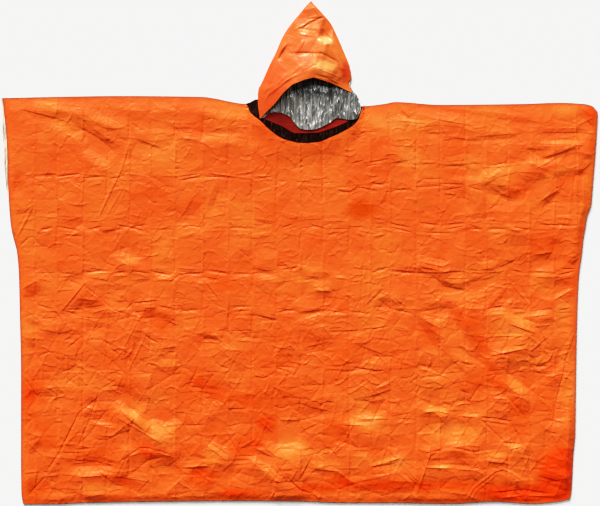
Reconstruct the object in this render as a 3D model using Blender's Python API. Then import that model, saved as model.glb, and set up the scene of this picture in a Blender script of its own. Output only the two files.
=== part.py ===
"""Heat-reflective poncho of metallised film, laid flat with its front up and its hood spread above the neck.

The back panel lies flat on the surface, the front panel lies on it, and both are joined along the shoulders
and, below the arm openings, down the sides. The hood is a flattened cone of two layers, open at the face and
at the neck, and the back panel's neck edge is turned in under it.

Frame: X runs across the shoulders, +Y from the hem to the hood, +Z up out of the front panel, and the origin
is the middle of the footprint on the surface. Tables are in millimetres, and the meshes are made in metres.
"""
import math
import random
from collections import namedtuple

import bmesh
import bpy

MM = 0.001

# Stack of layers, from the surface up.
WALL = 1.2                      # cloth wall
SEAM_GAP = 0.3                  # clearance between pieces that lie on each other
TURNING_Z = WALL + SEAM_GAP     # underside of the neck turning, and the least height of the front panel's
HOOD_SEAT_Z = TURNING_Z + WALL + SEAM_GAP

# Overall size.
HALF_WIDTH = 745.0
HALF_LENGTH = 627.5
NECK_LEFT, NECK_RIGHT = -131.0, 159.0

# How the panels' grids are divided.
LEFT_COLUMNS, NECK_COLUMNS, RIGHT_COLUMNS = 20, 12, 20
FRONT_ROWS = 34
HOOD_RAYS, HOOD_ROWS = 28, 13
TURNING_COLUMNS = 16

# Side edges: the back panel's left edge shows past the front's beside the arm opening.
Side = namedtuple("Side", "y back_left front_left right")
SIDES = [
    Side(-HALF_LENGTH, -690, -691, 671),
    Side(-600, -694, -695, 679),
    Side(-509, -695, -696, 684),
    Side(-449, -695, -696, 689),
    Side(-299, -695, -696, 691),
    Side(-149, -698, -699, 694),
    Side(-59, -700, -701, 698),
    Side(1, -706, -706, 706),
    Side(31, -714, -713, 709),
    Side(61, -721, -720, 714),
    Side(91, -724, -723, 719),
    Side(121, -727, -725, 729),
    Side(181, -735, -729, 734),
    Side(241, -739, -730, 739),
    Side(301, -742, -733, 743),
    Side(345, -744, -738, HALF_WIDTH),
    Side(386, -HALF_WIDTH, -742, HALF_WIDTH),
]

# Shoulder fold, left and right of the neck, and the hem.
Edge = namedtuple("Edge", "x y")
SHOULDERS = [
    Edge(-HALF_WIDTH, 386), Edge(-600, 389), Edge(-450, 391), Edge(-249, 389), Edge(NECK_LEFT, 371),
    Edge(NECK_RIGHT, 366), Edge(211, 371), Edge(239, 376), Edge(351, 369), Edge(551, 371),
    Edge(651, 374), Edge(711, 371), Edge(731, 366), Edge(HALF_WIDTH, 351),
]
HEM = [
    Edge(-HALF_WIDTH, -HALF_LENGTH), Edge(-640, -627), Edge(-569, -624), Edge(-400, -621), Edge(-150, -619),
    Edge(0, -620), Edge(111, -624), Edge(231, -624), Edge(391, -626), Edge(511, -621), Edge(631, -626),
    Edge(700, -622), Edge(HALF_WIDTH, -615),
]

# Neck edges: the front is scooped, the back is nearly straight and lies under the hood.
FRONT_NECK = [
    Edge(NECK_LEFT, 371), Edge(-124, 351), Edge(-99, 329), Edge(-69, 301), Edge(-36, 281), Edge(14, 272),
    Edge(51, 276), Edge(76, 286), Edge(114, 304), Edge(139, 321), Edge(149, 336), Edge(154, 352),
    Edge(NECK_RIGHT, 366),
]
BACK_NECK = [
    Edge(NECK_LEFT, 371), Edge(-104, 384), Edge(-84, 378), Edge(-41, 368), Edge(-9, 352), Edge(26, 342),
    Edge(76, 352), Edge(126, 362), Edge(NECK_RIGHT, 366),
]

# The back panel's neck edge, turned in over itself: a crescent under the hood's base.
Turning = namedtuple("Turning", "x low high")
TURNING = [
    Turning(-89, 334, 345), Turning(-69, 326, 360), Turning(-41, 314, 360), Turning(-9, 298, 336),
    Turning(39, 299, 326), Turning(76, 309, 340), Turning(114, 324, 350), Turning(134, 333, 346),
]

# Hood: its outline, the front layer's free edge round the face, and the back layer's edge at the neck.
Ring = namedtuple("Ring", "y left right")
HOOD_TIP_X = 29.0
HOOD_OUTLINE = [
    Ring(325, -98, 142), Ring(334, -99, 144), Ring(356, -102, 154), Ring(376, -104, 151),
    Ring(391, -104, 144), Ring(406, -103, 132), Ring(421, -96, 127), Ring(436, -89, 131),
    Ring(466, -76, 126), Ring(496, -61, 114), Ring(541, -41, 94), Ring(571, -21, 79),
    Ring(601, 4, 54), Ring(616, 16, 40),
    Ring(HALF_LENGTH, HOOD_TIP_X - 1.0, HOOD_TIP_X + 1.0),
]
FACE_RIM = [
    Edge(-99, 334), Edge(-80, 353), Edge(-61, 371), Edge(-41, 396), Edge(-19, 416), Edge(14, 429),
    Edge(36, 434), Edge(64, 426), Edge(94, 416), Edge(119, 404), Edge(132, 400),
]
NECK_BASE = [
    Edge(132, 400), Edge(148, 384), Edge(154, 356), Edge(144, 334), Edge(109, 334), Edge(91, 336),
    Edge(56, 314), Edge(21, 306), Edge(-9, 321), Edge(-44, 349), Edge(-74, 349), Edge(-99, 334),
]
HOOD_LOFT = 26.0                # how far the film stands open at the middle of the face rim
HOOD_LOFT_POWER = 0.8           # below 1 the loft is fuller towards the hood's sides
HOOD_TIP_INSET = 4.0            # the hollow ends this far short of the tip
HOOD_ON_BACK_Y = 395.0          # below this the hood lies on the back panel and the turning
HOOD_ON_FLOOR_Y = 445.0         # above this it lies on the surface

# Large folds of the front panel: ridges are positive, troughs negative.
Fold = namedtuple("Fold", "x0 y0 x1 y1 height half_width")
FOLDS = [
    # Left shoulder: a long ridge that runs down from the sleeve end, over a trough.
    Fold(-650, 378, -545, 352, 4.0, 34), Fold(-545, 352, -440, 312, 4.4, 34),
    Fold(-690, 352, -600, 330, -2.2, 26), Fold(-600, 330, -480, 272, -2.6, 30),
    # Right shoulder and sleeve end.
    Fold(240, 352, 430, 328, 2.4, 34), Fold(330, 292, 560, 292, -2.0, 30),
    Fold(590, 238, 700, 262, 4.2, 36), Fold(470, 186, 600, 206, 4.0, 32),
    Fold(480, 150, 600, 172, -2.4, 30),
    Fold(690, 200, 690, 20, 2.2, 26),
    # Pull below the neckline.
    Fold(-180, 280, -60, 250, 2.6, 34), Fold(-270, 150, -300, 80, -2.4, 32),
    Fold(110, 250, 190, 222, 2.2, 32),
    # Middle band.
    Fold(-440, -15, -395, -45, 3.2, 34), Fold(-590, -142, -535, -80, 2.6, 28),
    Fold(-535, -80, -470, -150, 2.4, 28), Fold(-395, -190, -345, -232, 3.8, 30),
    Fold(-110, -66, -50, -60, 2.8, 30), Fold(10, -172, 80, -168, 3.6, 34),
    Fold(20, -100, 80, -112, -2.4, 30), Fold(300, -20, 370, -28, 3.0, 32),
    Fold(380, -84, 490, -66, -2.8, 32), Fold(480, -160, 600, -160, 4.4, 44),
    Fold(620, -120, 690, -84, 3.4, 30), Fold(400, -160, 430, -250, -2.8, 40),
    Fold(30, -232, 80, -240, -2.6, 32), Fold(160, -240, 220, -254, -2.6, 30),
    # Long slanting folds over the lower left and the right side.
    Fold(-500, -352, -560, -420, 3.4, 28), Fold(-560, -420, -630, -545, 3.4, 28),
    Fold(-512, -380, -556, -490, 2.4, 24), Fold(690, -185, 650, -330, 3.2, 26),
    # Crumpled band above the hem.
    Fold(-450, -412, -400, -410, 4.4, 32), Fold(-400, -410, -340, -468, 4.4, 34),
    Fold(-570, -528, -465, -534, -3.2, 28), Fold(-545, -560, -470, -556, 3.6, 32),
    Fold(-460, -562, -430, -505, 3.4, 28), Fold(-430, -500, -310, -500, 3.2, 28),
    Fold(-320, -505, -290, -562, 3.4, 28), Fold(-240, -478, -180, -515, 4.0, 34),
    Fold(-250, -545, -170, -552, -3.2, 32), Fold(-110, -520, -50, -556, 4.2, 34),
    Fold(-140, -488, -70, -508, -3.0, 28), Fold(-40, -500, 0, -500, 3.2, 40),
    Fold(30, -540, 110, -556, -3.4, 34), Fold(30, -400, 80, -392, -3.0, 34),
    Fold(110, -424, 225, -406, 4.4, 34), Fold(180, -528, 250, -506, 4.2, 32),
    Fold(310, -392, 445, -410, 4.2, 34), Fold(300, -560, 325, -502, 3.2, 28),
    Fold(325, -502, 400, -492, 3.0, 28), Fold(400, -492, 460, -556, 3.4, 28),
    Fold(240, -590, 290, -560, 2.8, 28), Fold(520, -478, 560, -488, 3.6, 32),
    Fold(560, -560, 660, -540, -3.4, 48), Fold(500, -605, 640, -612, 3.4, 28),
    Fold(-450, -590, -380, -580, -3.0, 32),
]
LEAST_RELIEF = 1.2              # how far the front panel stands off its seat where there is no fold
SIDE_FADE = 40.0                # the relief dies out this near to a side edge, the hem or the shoulder fold
SHARE_AT_HEM = 0.35             # how much of it is left at the hem, where the panels are not joined

# The free neckline stands up a little, and comes down again towards the shoulder fold.
NECK_LIFT, NECK_LIFT_REACH = 5.0, 60.0
NECK_LIFT_TOP, NECK_LIFT_FADE = 375.0, 60.0

# Creases left by packing: the film was folded down to cells of this size.
PACK_COLUMN, PACK_ROW = 59.6, 58.5
PACK_RISE = 1.3                 # how far a cell corner stands up near the shoulders
PACK_RISE_AT_HEM = 2.8
PACK_COLUMNS = range(-14, 15)   # the cells' corners, counted from the origin
PACK_ROWS = range(-12, 9)

Film = namedtuple("Film", "colour metallic")
ORANGE = Film((0.871, 0.133, 0.014, 1.0), 0.25)
SILVER = Film((0.62, 0.61, 0.59, 1.0), 0.9)
ROUGHNESS = 0.38


def smooth(share):
    """Ease from 0 to 1 with level ends."""
    share = min(1.0, max(0.0, share))
    return share * share * (3.0 - 2.0 * share)


def mix(start, end, share):
    return start + (end - start) * share


def read(rows, key, column, at):
    """Column of a table where its key column equals `at`, on a curve that never overshoots its rows."""
    keys = [getattr(row, key) for row in rows]
    values = [getattr(row, column) for row in rows]
    if at <= keys[0]:
        return values[0]
    if at >= keys[-1]:
        return values[-1]
    steps = [(values[i + 1] - values[i]) / (keys[i + 1] - keys[i]) for i in range(len(rows) - 1)]
    slopes = [steps[0]]
    for before, after in zip(steps, steps[1:]):
        slopes.append(0.0 if before * after <= 0.0 else 2.0 * before * after / (before + after))
    slopes.append(steps[-1])
    i = max(k for k in range(len(rows) - 1) if keys[k] <= at)
    span = keys[i + 1] - keys[i]
    t = (at - keys[i]) / span
    start = (1.0 + 2.0 * t) * (1.0 - t) ** 2 * values[i] + t * (1.0 - t) ** 2 * span * slopes[i]
    end = t * t * (3.0 - 2.0 * t) * values[i + 1] + t * t * (t - 1.0) * span * slopes[i + 1]
    return start + end


def along(path, share):
    """Point at a share of a path's length."""
    lengths = [math.dist(path[i], path[i + 1]) for i in range(len(path) - 1)]
    left = share * sum(lengths)
    for start, end, length in zip(path, path[1:], lengths):
        if left <= length:
            return mix(start.x, end.x, left / length), mix(start.y, end.y, left / length)
        left -= length
    return path[-1].x, path[-1].y


def shoulder_x(column):
    """Where a column of the panels' grid meets the top edge; the neck's columns crowd at its ends."""
    if column <= LEFT_COLUMNS:
        return mix(-HALF_WIDTH, NECK_LEFT, column / LEFT_COLUMNS)
    column -= LEFT_COLUMNS
    if column <= NECK_COLUMNS:
        return mix(NECK_LEFT, NECK_RIGHT, 0.5 - 0.5 * math.cos(math.pi * column / NECK_COLUMNS))
    return mix(NECK_RIGHT, HALF_WIDTH, (column - NECK_COLUMNS) / RIGHT_COLUMNS)


def top_edge(x, neck):
    return read(neck, "x", "y", x) if NECK_LEFT < x < NECK_RIGHT else read(SHOULDERS, "x", "y", x)


def panel_xy(top_x, share_up, neck, left_column):
    """Point of a panel: its column's place at the shoulder, followed down as the side edges draw in."""
    y = mix(read(HEM, "x", "y", top_x), top_edge(top_x, neck), share_up)
    side = read(SIDES, "y", "right" if top_x > 0 else left_column, y)
    outmost = math.copysign(HALF_WIDTH, top_x)
    return top_x + (side - outmost) * abs(top_x / HALF_WIDTH) ** 3, y


def pack_heights():
    """Height of each corner of the packing cells, higher near the hem where the film is more crumpled."""
    dice = random.Random(7)
    heights = {}
    for row in PACK_ROWS:
        rise = mix(PACK_RISE_AT_HEM, PACK_RISE, smooth((row + 11) / 12))
        for column in PACK_COLUMNS:
            heights[column, row] = rise * dice.random()
    return heights


PACK_HEIGHTS = pack_heights()


def pack_relief(x, y):
    """Height of the packing cells' facets, each cell being cut by one diagonal."""
    column, row = math.floor(x / PACK_COLUMN), math.floor(y / PACK_ROW)
    u, v = x / PACK_COLUMN - column, y / PACK_ROW - row
    low, high = PACK_HEIGHTS[column, row], PACK_HEIGHTS[column + 1, row + 1]
    if u > v:
        corner = PACK_HEIGHTS[column + 1, row]
        return low + u * (corner - low) + v * (high - corner)
    corner = PACK_HEIGHTS[column, row + 1]
    return low + v * (corner - low) + u * (high - corner)


def fold_relief(x, y):
    """Sum of the large folds, each a soft ridge or trough that dies out past its ends."""
    total = 0.0
    for fold in FOLDS:
        run_x, run_y = fold.x1 - fold.x0, fold.y1 - fold.y0
        t = ((x - fold.x0) * run_x + (y - fold.y0) * run_y) / (run_x ** 2 + run_y ** 2)
        t = min(1.0, max(0.0, t))
        distance = math.hypot(x - fold.x0 - t * run_x, y - fold.y0 - t * run_y)
        total += fold.height * smooth(1.0 - distance / fold.half_width)
    return total


def front_height(x, y):
    """Underside of the front panel above the surface: never lower than its seat on the back panel."""
    side = min(x - read(SIDES, "y", "front_left", y), read(SIDES, "y", "right", y) - x)
    fade = smooth(side / SIDE_FADE)
    if not NECK_LEFT < x < NECK_RIGHT:
        fade *= smooth((read(SHOULDERS, "x", "y", x) - y) / SIDE_FADE)
    fade *= mix(SHARE_AT_HEM, 1.0, smooth((y - read(HEM, "x", "y", x)) / SIDE_FADE))
    lift = 0.0
    if NECK_LEFT < x < NECK_RIGHT:
        below = read(FRONT_NECK, "x", "y", x) - y
        lift = NECK_LIFT * smooth(1.0 - below / NECK_LIFT_REACH)
        lift *= smooth((NECK_LIFT_TOP - y) / NECK_LIFT_FADE)
    relief = LEAST_RELIEF + fold_relief(x, y) + pack_relief(x, y)
    return TURNING_Z + lift + fade * max(0.0, relief)


def cloth_solid(name, columns, rows, place, film):
    """Closed wall of cloth from a grid: place(column, row, inner) gives the points of its two faces."""
    bm = bmesh.new()
    column_layer = bm.verts.layers.float.new("column")
    row_layer = bm.verts.layers.float.new("row")
    bmesh.ops.create_grid(bm, x_segments=columns, y_segments=rows, size=0.5)
    for vert in bm.verts:
        vert[column_layer] = round((vert.co.x + 0.5) * columns)
        vert[row_layer] = round((vert.co.y + 0.5) * rows)
        vert.co = place(vert[column_layer], vert[row_layer], False)
    bmesh.ops.remove_doubles(bm, verts=bm.verts, dist=0.01)
    bmesh.ops.triangulate(bm, faces=bm.faces)
    grown = bmesh.ops.extrude_face_region(bm, geom=bm.faces[:])
    for item in grown["geom"]:
        if isinstance(item, bmesh.types.BMVert):
            item.co = place(item[column_layer], item[row_layer], True)
    bmesh.ops.recalc_face_normals(bm, faces=bm.faces)
    return finish(name, bm, film)


def finish(name, bm, film):
    """Object from a bmesh in millimetres, with its own material."""
    bmesh.ops.scale(bm, vec=(MM, MM, MM), verts=bm.verts)
    mesh = bpy.data.meshes.new(name)
    bm.to_mesh(mesh)
    bm.free()
    material = bpy.data.materials.new(name)
    material.use_nodes = True
    shader = material.node_tree.nodes["Principled BSDF"]
    shader.inputs["Base Color"].default_value = film.colour
    shader.inputs["Roughness"].default_value = ROUGHNESS
    shader.inputs["Metallic"].default_value = film.metallic
    mesh.materials.append(material)
    piece = bpy.data.objects.new(name, mesh)
    bpy.context.collection.objects.link(piece)
    return piece


def make_front_panel():
    """Front panel: one sheet from the hem to the shoulders and the scooped neckline."""
    def place(column, row, inner):
        x, y = panel_xy(shoulder_x(column), row / FRONT_ROWS, FRONT_NECK, "front_left")
        z = front_height(x, y)
        return x, y, z if inner else z + WALL

    columns = LEFT_COLUMNS + NECK_COLUMNS + RIGHT_COLUMNS
    cloth_solid("front_panel", columns, FRONT_ROWS, place, ORANGE)


def make_back_panel():
    """Back panel: a flat plate on the surface, from its outline taken once round."""
    columns = LEFT_COLUMNS + NECK_COLUMNS + RIGHT_COLUMNS
    tops = [shoulder_x(column) for column in range(columns + 1)]
    side_rows = [row / FRONT_ROWS for row in range(2, FRONT_ROWS, 2)]
    outline = [panel_xy(x, 0.0, BACK_NECK, "back_left") for x in tops[::2]]
    outline += [panel_xy(HALF_WIDTH, share, BACK_NECK, "back_left") for share in side_rows]
    outline += [panel_xy(x, 1.0, BACK_NECK, "back_left") for x in reversed(tops)]
    outline += [panel_xy(-HALF_WIDTH, share, BACK_NECK, "back_left") for share in reversed(side_rows)]

    bm = bmesh.new()
    face = bm.faces.new([bm.verts.new((x, y, 0.0)) for x, y in outline])
    grown = bmesh.ops.extrude_face_region(bm, geom=[face])
    raised = [item for item in grown["geom"] if isinstance(item, bmesh.types.BMVert)]
    bmesh.ops.translate(bm, vec=(0.0, 0.0, WALL), verts=raised)
    bmesh.ops.recalc_face_normals(bm, faces=bm.faces)
    finish("back_panel", bm, SILVER)


def make_neck_turning():
    """Neck turning: the back panel's neck edge, folded in so that its orange side shows."""
    def place(column, row, inner):
        x = mix(TURNING[0].x, TURNING[-1].x, column / TURNING_COLUMNS)
        y = read(TURNING, "x", "high" if row else "low", x)
        return x, y, TURNING_Z if inner else TURNING_Z + WALL

    cloth_solid("neck_turning", TURNING_COLUMNS, 1, place, ORANGE)


def make_hood():
    """Hood: rays run from its tip to the free edge, over the front layer and back along the back layer."""
    def place(ray, row, inner):
        turn, share = ray / HOOD_RAYS, row / HOOD_ROWS
        front = turn <= 0.5
        mouth_x, mouth_y = along(FACE_RIM, turn * 2.0) if front else along(NECK_BASE, turn * 2.0 - 1.0)
        tip_y = HALF_LENGTH - (HOOD_TIP_INSET if inner else 0.0)
        y = mix(tip_y, mouth_y, share)
        if row == 0:
            y = tip_y

        def across(at):
            left, right = read(HOOD_OUTLINE, "y", "left", at), read(HOOD_OUTLINE, "y", "right", at)
            return (left + right) / 2.0, (right - left) / 2.0

        middle, half = across(y)
        mouth_middle, mouth_half = across(mouth_y)
        fan = -math.cos(2.0 * math.pi * turn)
        mouth_fan = (mouth_x - mouth_middle) / mouth_half
        u = mix(fan, min(1.0, max(-1.0, mouth_fan)), share ** 3)
        x = middle + u * (half - (WALL if inner else 0.0))

        seat = HOOD_SEAT_Z * (1.0 - smooth((y - HOOD_ON_BACK_Y) / (HOOD_ON_FLOOR_Y - HOOD_ON_BACK_Y)))
        half_stack = WALL + SEAM_GAP / 2.0
        middle_z = seat + half_stack
        side = 0.0 if ray in (0, HOOD_RAYS / 2, HOOD_RAYS) else (1.0 if front else -1.0)
        z = middle_z + side * (half_stack - (WALL if inner else 0.0))
        if front:
            z += HOOD_LOFT * smooth(share) * max(0.0, 1.0 - fan * fan) ** HOOD_LOFT_POWER
        if row == 0:
            x, z = HOOD_TIP_X, half_stack
        return x, y, z

    cloth_solid("hood", HOOD_RAYS, HOOD_ROWS, place, ORANGE)


for old in list(bpy.data.objects):
    bpy.data.objects.remove(old, do_unlink=True)
make_back_panel()
make_front_panel()
make_neck_turning()
make_hood()
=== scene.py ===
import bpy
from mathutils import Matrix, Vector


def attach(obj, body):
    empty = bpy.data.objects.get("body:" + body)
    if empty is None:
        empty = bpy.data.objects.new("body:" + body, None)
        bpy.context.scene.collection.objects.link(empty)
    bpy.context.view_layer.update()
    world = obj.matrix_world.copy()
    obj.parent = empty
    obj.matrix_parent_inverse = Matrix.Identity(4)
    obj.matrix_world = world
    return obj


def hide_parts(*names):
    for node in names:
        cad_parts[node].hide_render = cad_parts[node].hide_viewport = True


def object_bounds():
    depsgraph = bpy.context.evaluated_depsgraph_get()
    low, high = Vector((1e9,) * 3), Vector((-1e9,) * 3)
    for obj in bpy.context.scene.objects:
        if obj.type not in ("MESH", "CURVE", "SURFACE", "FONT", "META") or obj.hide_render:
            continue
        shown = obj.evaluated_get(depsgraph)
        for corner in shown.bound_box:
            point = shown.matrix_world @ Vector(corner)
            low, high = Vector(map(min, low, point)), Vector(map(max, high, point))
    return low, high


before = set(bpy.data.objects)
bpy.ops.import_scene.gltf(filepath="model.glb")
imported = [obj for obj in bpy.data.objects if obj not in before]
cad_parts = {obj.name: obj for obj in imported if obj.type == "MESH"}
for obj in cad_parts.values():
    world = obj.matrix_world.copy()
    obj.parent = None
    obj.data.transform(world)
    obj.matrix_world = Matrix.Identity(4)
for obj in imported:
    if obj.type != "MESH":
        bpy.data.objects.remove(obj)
cad_box = [list(corner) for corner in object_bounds()]

import math
import random
from collections import namedtuple

import bmesh
import bpy
import numpy as np
from mathutils import Vector
from mathutils.bvhtree import BVHTree
from mathutils.geometry import delaunay_2d_cdt

# ---- Studio -------------------------------------------------------------------------------------------------
# A pale table top, a broad soft light low beyond the hood, a weaker one above it, and a room whose ceiling is
# dark: flat foil then looks dark, and creased foil and film catch the lights. The walls are warm, so that film
# turned away from the lights stays a deep red-orange.
CAMERA_X, CAMERA_Y, CAMERA_HEIGHT = 0.00125, -0.00125, 3.5417
CAMERA_LENS, CAMERA_SENSOR, CAMERA_REACH = 85.0, 36.0, 30.0
TABLE_HALF, TABLE_GAP = 16.0, 0.0005
TABLE_GREY = (0.776, 0.776, 0.776, 1.0)
WALL_TONES = (                  # height of the view direction, from level at 0 to straight up at 1, and colour
    (0.0, (0.38, 0.30, 0.25)), (0.25, (0.38, 0.30, 0.25)), (0.6, (0.25, 0.20, 0.165)),
    (0.88, (0.125, 0.10, 0.083)), (1.0, (0.05, 0.04, 0.033)),
)


def add_object(name, data):
    added = bpy.data.objects.new(name, data)
    bpy.context.collection.objects.link(added)
    return added


def add_node(tree, kind, sockets=None, **settings):
    """Adds a shader node. Each of its sockets named here gets its value, or is linked to the output given."""
    node = tree.nodes.new("ShaderNode" + kind)
    for name, setting in settings.items():
        setattr(node, name, setting)
    for socket, value in (sockets or {}).items():
        if isinstance(value, bpy.types.NodeSocket):
            tree.links.new(value, node.inputs[socket])
        else:
            node.inputs[socket].default_value = value
    return node


def add_ramp(tree, share, stops, interpolation="LINEAR"):
    """Colours over a share from 0 to 1, from stops of position and colour in rising order."""
    ramp = add_node(tree, "ValToRGB", {0: share})
    ramp.color_ramp.interpolation = interpolation
    for element, (position, colour) in zip(ramp.color_ramp.elements, (stops[0], stops[-1])):
        element.position, element.color = position, (*colour, 1.0)
    for position, colour in stops[1:-1]:
        ramp.color_ramp.elements.new(position).color = (*colour, 1.0)
    return ramp.outputs[0]


def new_material(name):
    """A new material, its node tree and its shader."""
    material = bpy.data.materials.new(name)
    material.use_nodes = True
    return material, material.node_tree, material.node_tree.nodes["Principled BSDF"]


def soft_light(name, azimuth, elevation, strength, width):
    """A distant lamp as wide as `width` degrees, from an azimuth counted from +Y towards -X."""
    data = bpy.data.lights.new(name, "SUN")
    data.energy = strength
    data.angle = math.radians(width)
    lamp = add_object(name, data)
    a, e = math.radians(azimuth), math.radians(elevation)
    towards = Vector((-math.sin(a) * math.cos(e), math.cos(a) * math.cos(e), math.sin(e)))
    lamp.rotation_mode = "QUATERNION"
    lamp.rotation_quaternion = towards.to_track_quat("Z", "Y")


camera_data = bpy.data.cameras.new("camera")
camera_data.lens = CAMERA_LENS
camera_data.sensor_width = CAMERA_SENSOR
camera_data.clip_end = CAMERA_REACH
camera = add_object("camera", camera_data)
camera.location = (CAMERA_X, CAMERA_Y, CAMERA_HEIGHT)
bpy.context.scene.camera = camera

bm = bmesh.new()
bmesh.ops.create_grid(bm, x_segments=1, y_segments=1, size=TABLE_HALF)
bmesh.ops.translate(bm, vec=(0.0, 0.0, cad_box[0][2] - TABLE_GAP), verts=bm.verts)
table_mesh = bpy.data.meshes.new("table_top")
bm.to_mesh(table_mesh)
bm.free()
table_top = add_object("table_top", table_mesh)
table_paint, _, paint = new_material("table_paint")
paint.inputs["Base Color"].default_value = TABLE_GREY
paint.inputs["Roughness"].default_value = 0.9
paint.inputs["Specular IOR Level"].default_value = 0.0
table_mesh.materials.append(table_paint)

KEY_AZIMUTH = 16.0
soft_light("key_light", azimuth=KEY_AZIMUTH, elevation=20, strength=14.0, width=22)
soft_light("upper_light", azimuth=6, elevation=50, strength=2.2, width=28)

room = bpy.data.worlds.new("room")
room.use_nodes = True
bpy.context.scene.world = room
direction = add_node(room.node_tree, "TexCoord").outputs["Generated"]
height = add_node(room.node_tree, "SeparateXYZ", {0: direction}).outputs["Z"]
background = room.node_tree.nodes["Background"]
room.node_tree.links.new(add_ramp(room.node_tree, height, WALL_TONES), background.inputs["Color"])
background.inputs["Strength"].default_value = 1.0

# Exposed for a white ground, with the soft toe and shoulder of a camera: deep colours stay deep, and the bright
# orange doesn't burn out.
TOE_POWER, FILM_SPEED, LIGHT_RANGE = 1.32, 1.2, 3.5
RESPONSE_STEPS = (0.01, 0.03, 0.06, 0.1, 0.15, 0.22, 0.32, 0.45, 0.65, 0.9, 1.2, 1.6, 2.1, 2.8)


def film_response(light):
    return 1.0 - math.exp(-FILM_SPEED * light ** TOE_POWER)


view = bpy.context.scene.view_settings
view.view_transform = "Standard"
view.use_curve_mapping = True
view.curve_mapping.white_level = (LIGHT_RANGE, LIGHT_RANGE, LIGHT_RANGE)
tone = view.curve_mapping.curves[3]
tone.points[0].location = (0.0, 0.0)
tone.points[1].location = (1.0, film_response(LIGHT_RANGE))
for light in RESPONSE_STEPS:
    tone.points.new(light / LIGHT_RANGE, film_response(light))
view.curve_mapping.update()

# ---- Back panel ---------------------------------------------------------------------------------------------
# The lower of the two panels of metallised polyethylene film, orange outside and silver inside. It lies on the
# table with its silver side up, and shows in the neck opening and as a strip along the left arm opening.
MM = 0.001
HALF_WIDTH, HALF_LENGTH = 745.0, 627.5
NECK_LEFT, NECK_RIGHT = -131.0, 159.0
WALL, SEAM_GAP = 1.2, 0.3
TURNING_Z = WALL + SEAM_GAP
FILM_WALL = 0.7                 # the shell that stands for the film here

Side = namedtuple("Side", "y back_left front_left right")
SIDES = [
    Side(-HALF_LENGTH, -690, -691, 671), Side(-600, -694, -695, 679), Side(-509, -695, -696, 684),
    Side(-449, -695, -696, 689), Side(-299, -695, -696, 691), Side(-149, -698, -699, 694),
    Side(-59, -700, -701, 698), Side(1, -706, -706, 706), Side(31, -714, -713, 709),
    Side(61, -721, -720, 714), Side(91, -724, -723, 719), Side(121, -727, -725, 729),
    Side(181, -735, -729, 734), Side(241, -739, -730, 739), Side(301, -742, -733, 743),
    Side(345, -744, -738, HALF_WIDTH), Side(386, -HALF_WIDTH, -742, HALF_WIDTH),
]
Edge = namedtuple("Edge", "x y")
SHOULDERS = [
    Edge(-HALF_WIDTH, 386), Edge(-600, 389), Edge(-450, 391), Edge(-249, 389), Edge(NECK_LEFT, 371),
    Edge(NECK_RIGHT, 366), Edge(211, 371), Edge(239, 376), Edge(351, 369), Edge(551, 371),
    Edge(651, 374), Edge(711, 371), Edge(731, 366), Edge(HALF_WIDTH, 351),
]
HEM = [
    Edge(-HALF_WIDTH, -HALF_LENGTH), Edge(-640, -627), Edge(-569, -624), Edge(-400, -621), Edge(-150, -619),
    Edge(0, -620), Edge(111, -624), Edge(231, -624), Edge(391, -626), Edge(511, -621), Edge(631, -626),
    Edge(700, -622), Edge(HALF_WIDTH, -615),
]
BACK_NECK = [
    Edge(NECK_LEFT, 371), Edge(-104, 384), Edge(-84, 378), Edge(-41, 368), Edge(-9, 352), Edge(26, 342),
    Edge(76, 352), Edge(126, 362), Edge(NECK_RIGHT, 366),
]
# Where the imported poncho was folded: upright folds, and folds across.
PACK_COLUMNS = (
    -760, -661, -606, -541, -480, -425, -372, -311, -241, -178, -118, -58, 2, 58, 124, 176, 226, 291, 350, 414,
    466, 519, 574, 636, 690, 760,
)
PACK_ROWS = (-640, -556, -490, -412, -346, -294, -246, -204, -150, -100, -52, 0, 64, 128, 190, 280, 340, 410)


def smooth(share):
    """Ease from 0 to 1 with level ends."""
    share = np.clip(share, 0.0, 1.0)
    return share * share * (3.0 - 2.0 * share)


def mix(start, end, share):
    return start + (end - start) * share


def read(rows, key, column, at):
    """One column of a table where its key column equals `at`, on a curve that never overshoots its rows."""
    keys = np.array([getattr(row, key) for row in rows], float)
    values = np.array([getattr(row, column) for row in rows], float)
    steps = np.diff(values) / np.diff(keys)
    before, after = steps[:-1], steps[1:]
    turns = before * after <= 0.0
    inner = np.where(turns, 0.0, 2.0 * before * after / np.where(turns, 1.0, before + after))
    slopes = np.concatenate([steps[:1], inner, steps[-1:]])
    at = np.clip(at, keys[0], keys[-1])
    i = np.clip(np.searchsorted(keys, at, side="right") - 1, 0, len(keys) - 2)
    span = keys[i + 1] - keys[i]
    t = (at - keys[i]) / span
    start = (1.0 + 2.0 * t) * (1.0 - t) ** 2 * values[i] + t * (1.0 - t) ** 2 * span * slopes[i]
    end = t * t * (3.0 - 2.0 * t) * values[i + 1] + t * t * (t - 1.0) * span * slopes[i + 1]
    return start + end


def in_neck(x):
    return (x > NECK_LEFT) & (x < NECK_RIGHT)


def panel_xy(top_x, share_up, neck, left_column):
    """Points of a panel: columns start at its shoulder or neck edge and follow the sides in as they go down."""
    top = np.where(in_neck(top_x), read(neck, "x", "y", top_x), read(SHOULDERS, "x", "y", top_x))
    y = mix(read(HEM, "x", "y", top_x), top, share_up)
    side = np.where(top_x > 0, read(SIDES, "y", "right", y), read(SIDES, "y", left_column, y))
    outmost = np.copysign(HALF_WIDTH, top_x)
    return top_x + (side - outmost) * np.abs(top_x / HALF_WIDTH) ** 3, y


Net = namedtuple("Net", "corners edges sheet")
CORNER_SCATTER = 0.7            # in pitches
SAME_POINT = 0.0001


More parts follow.
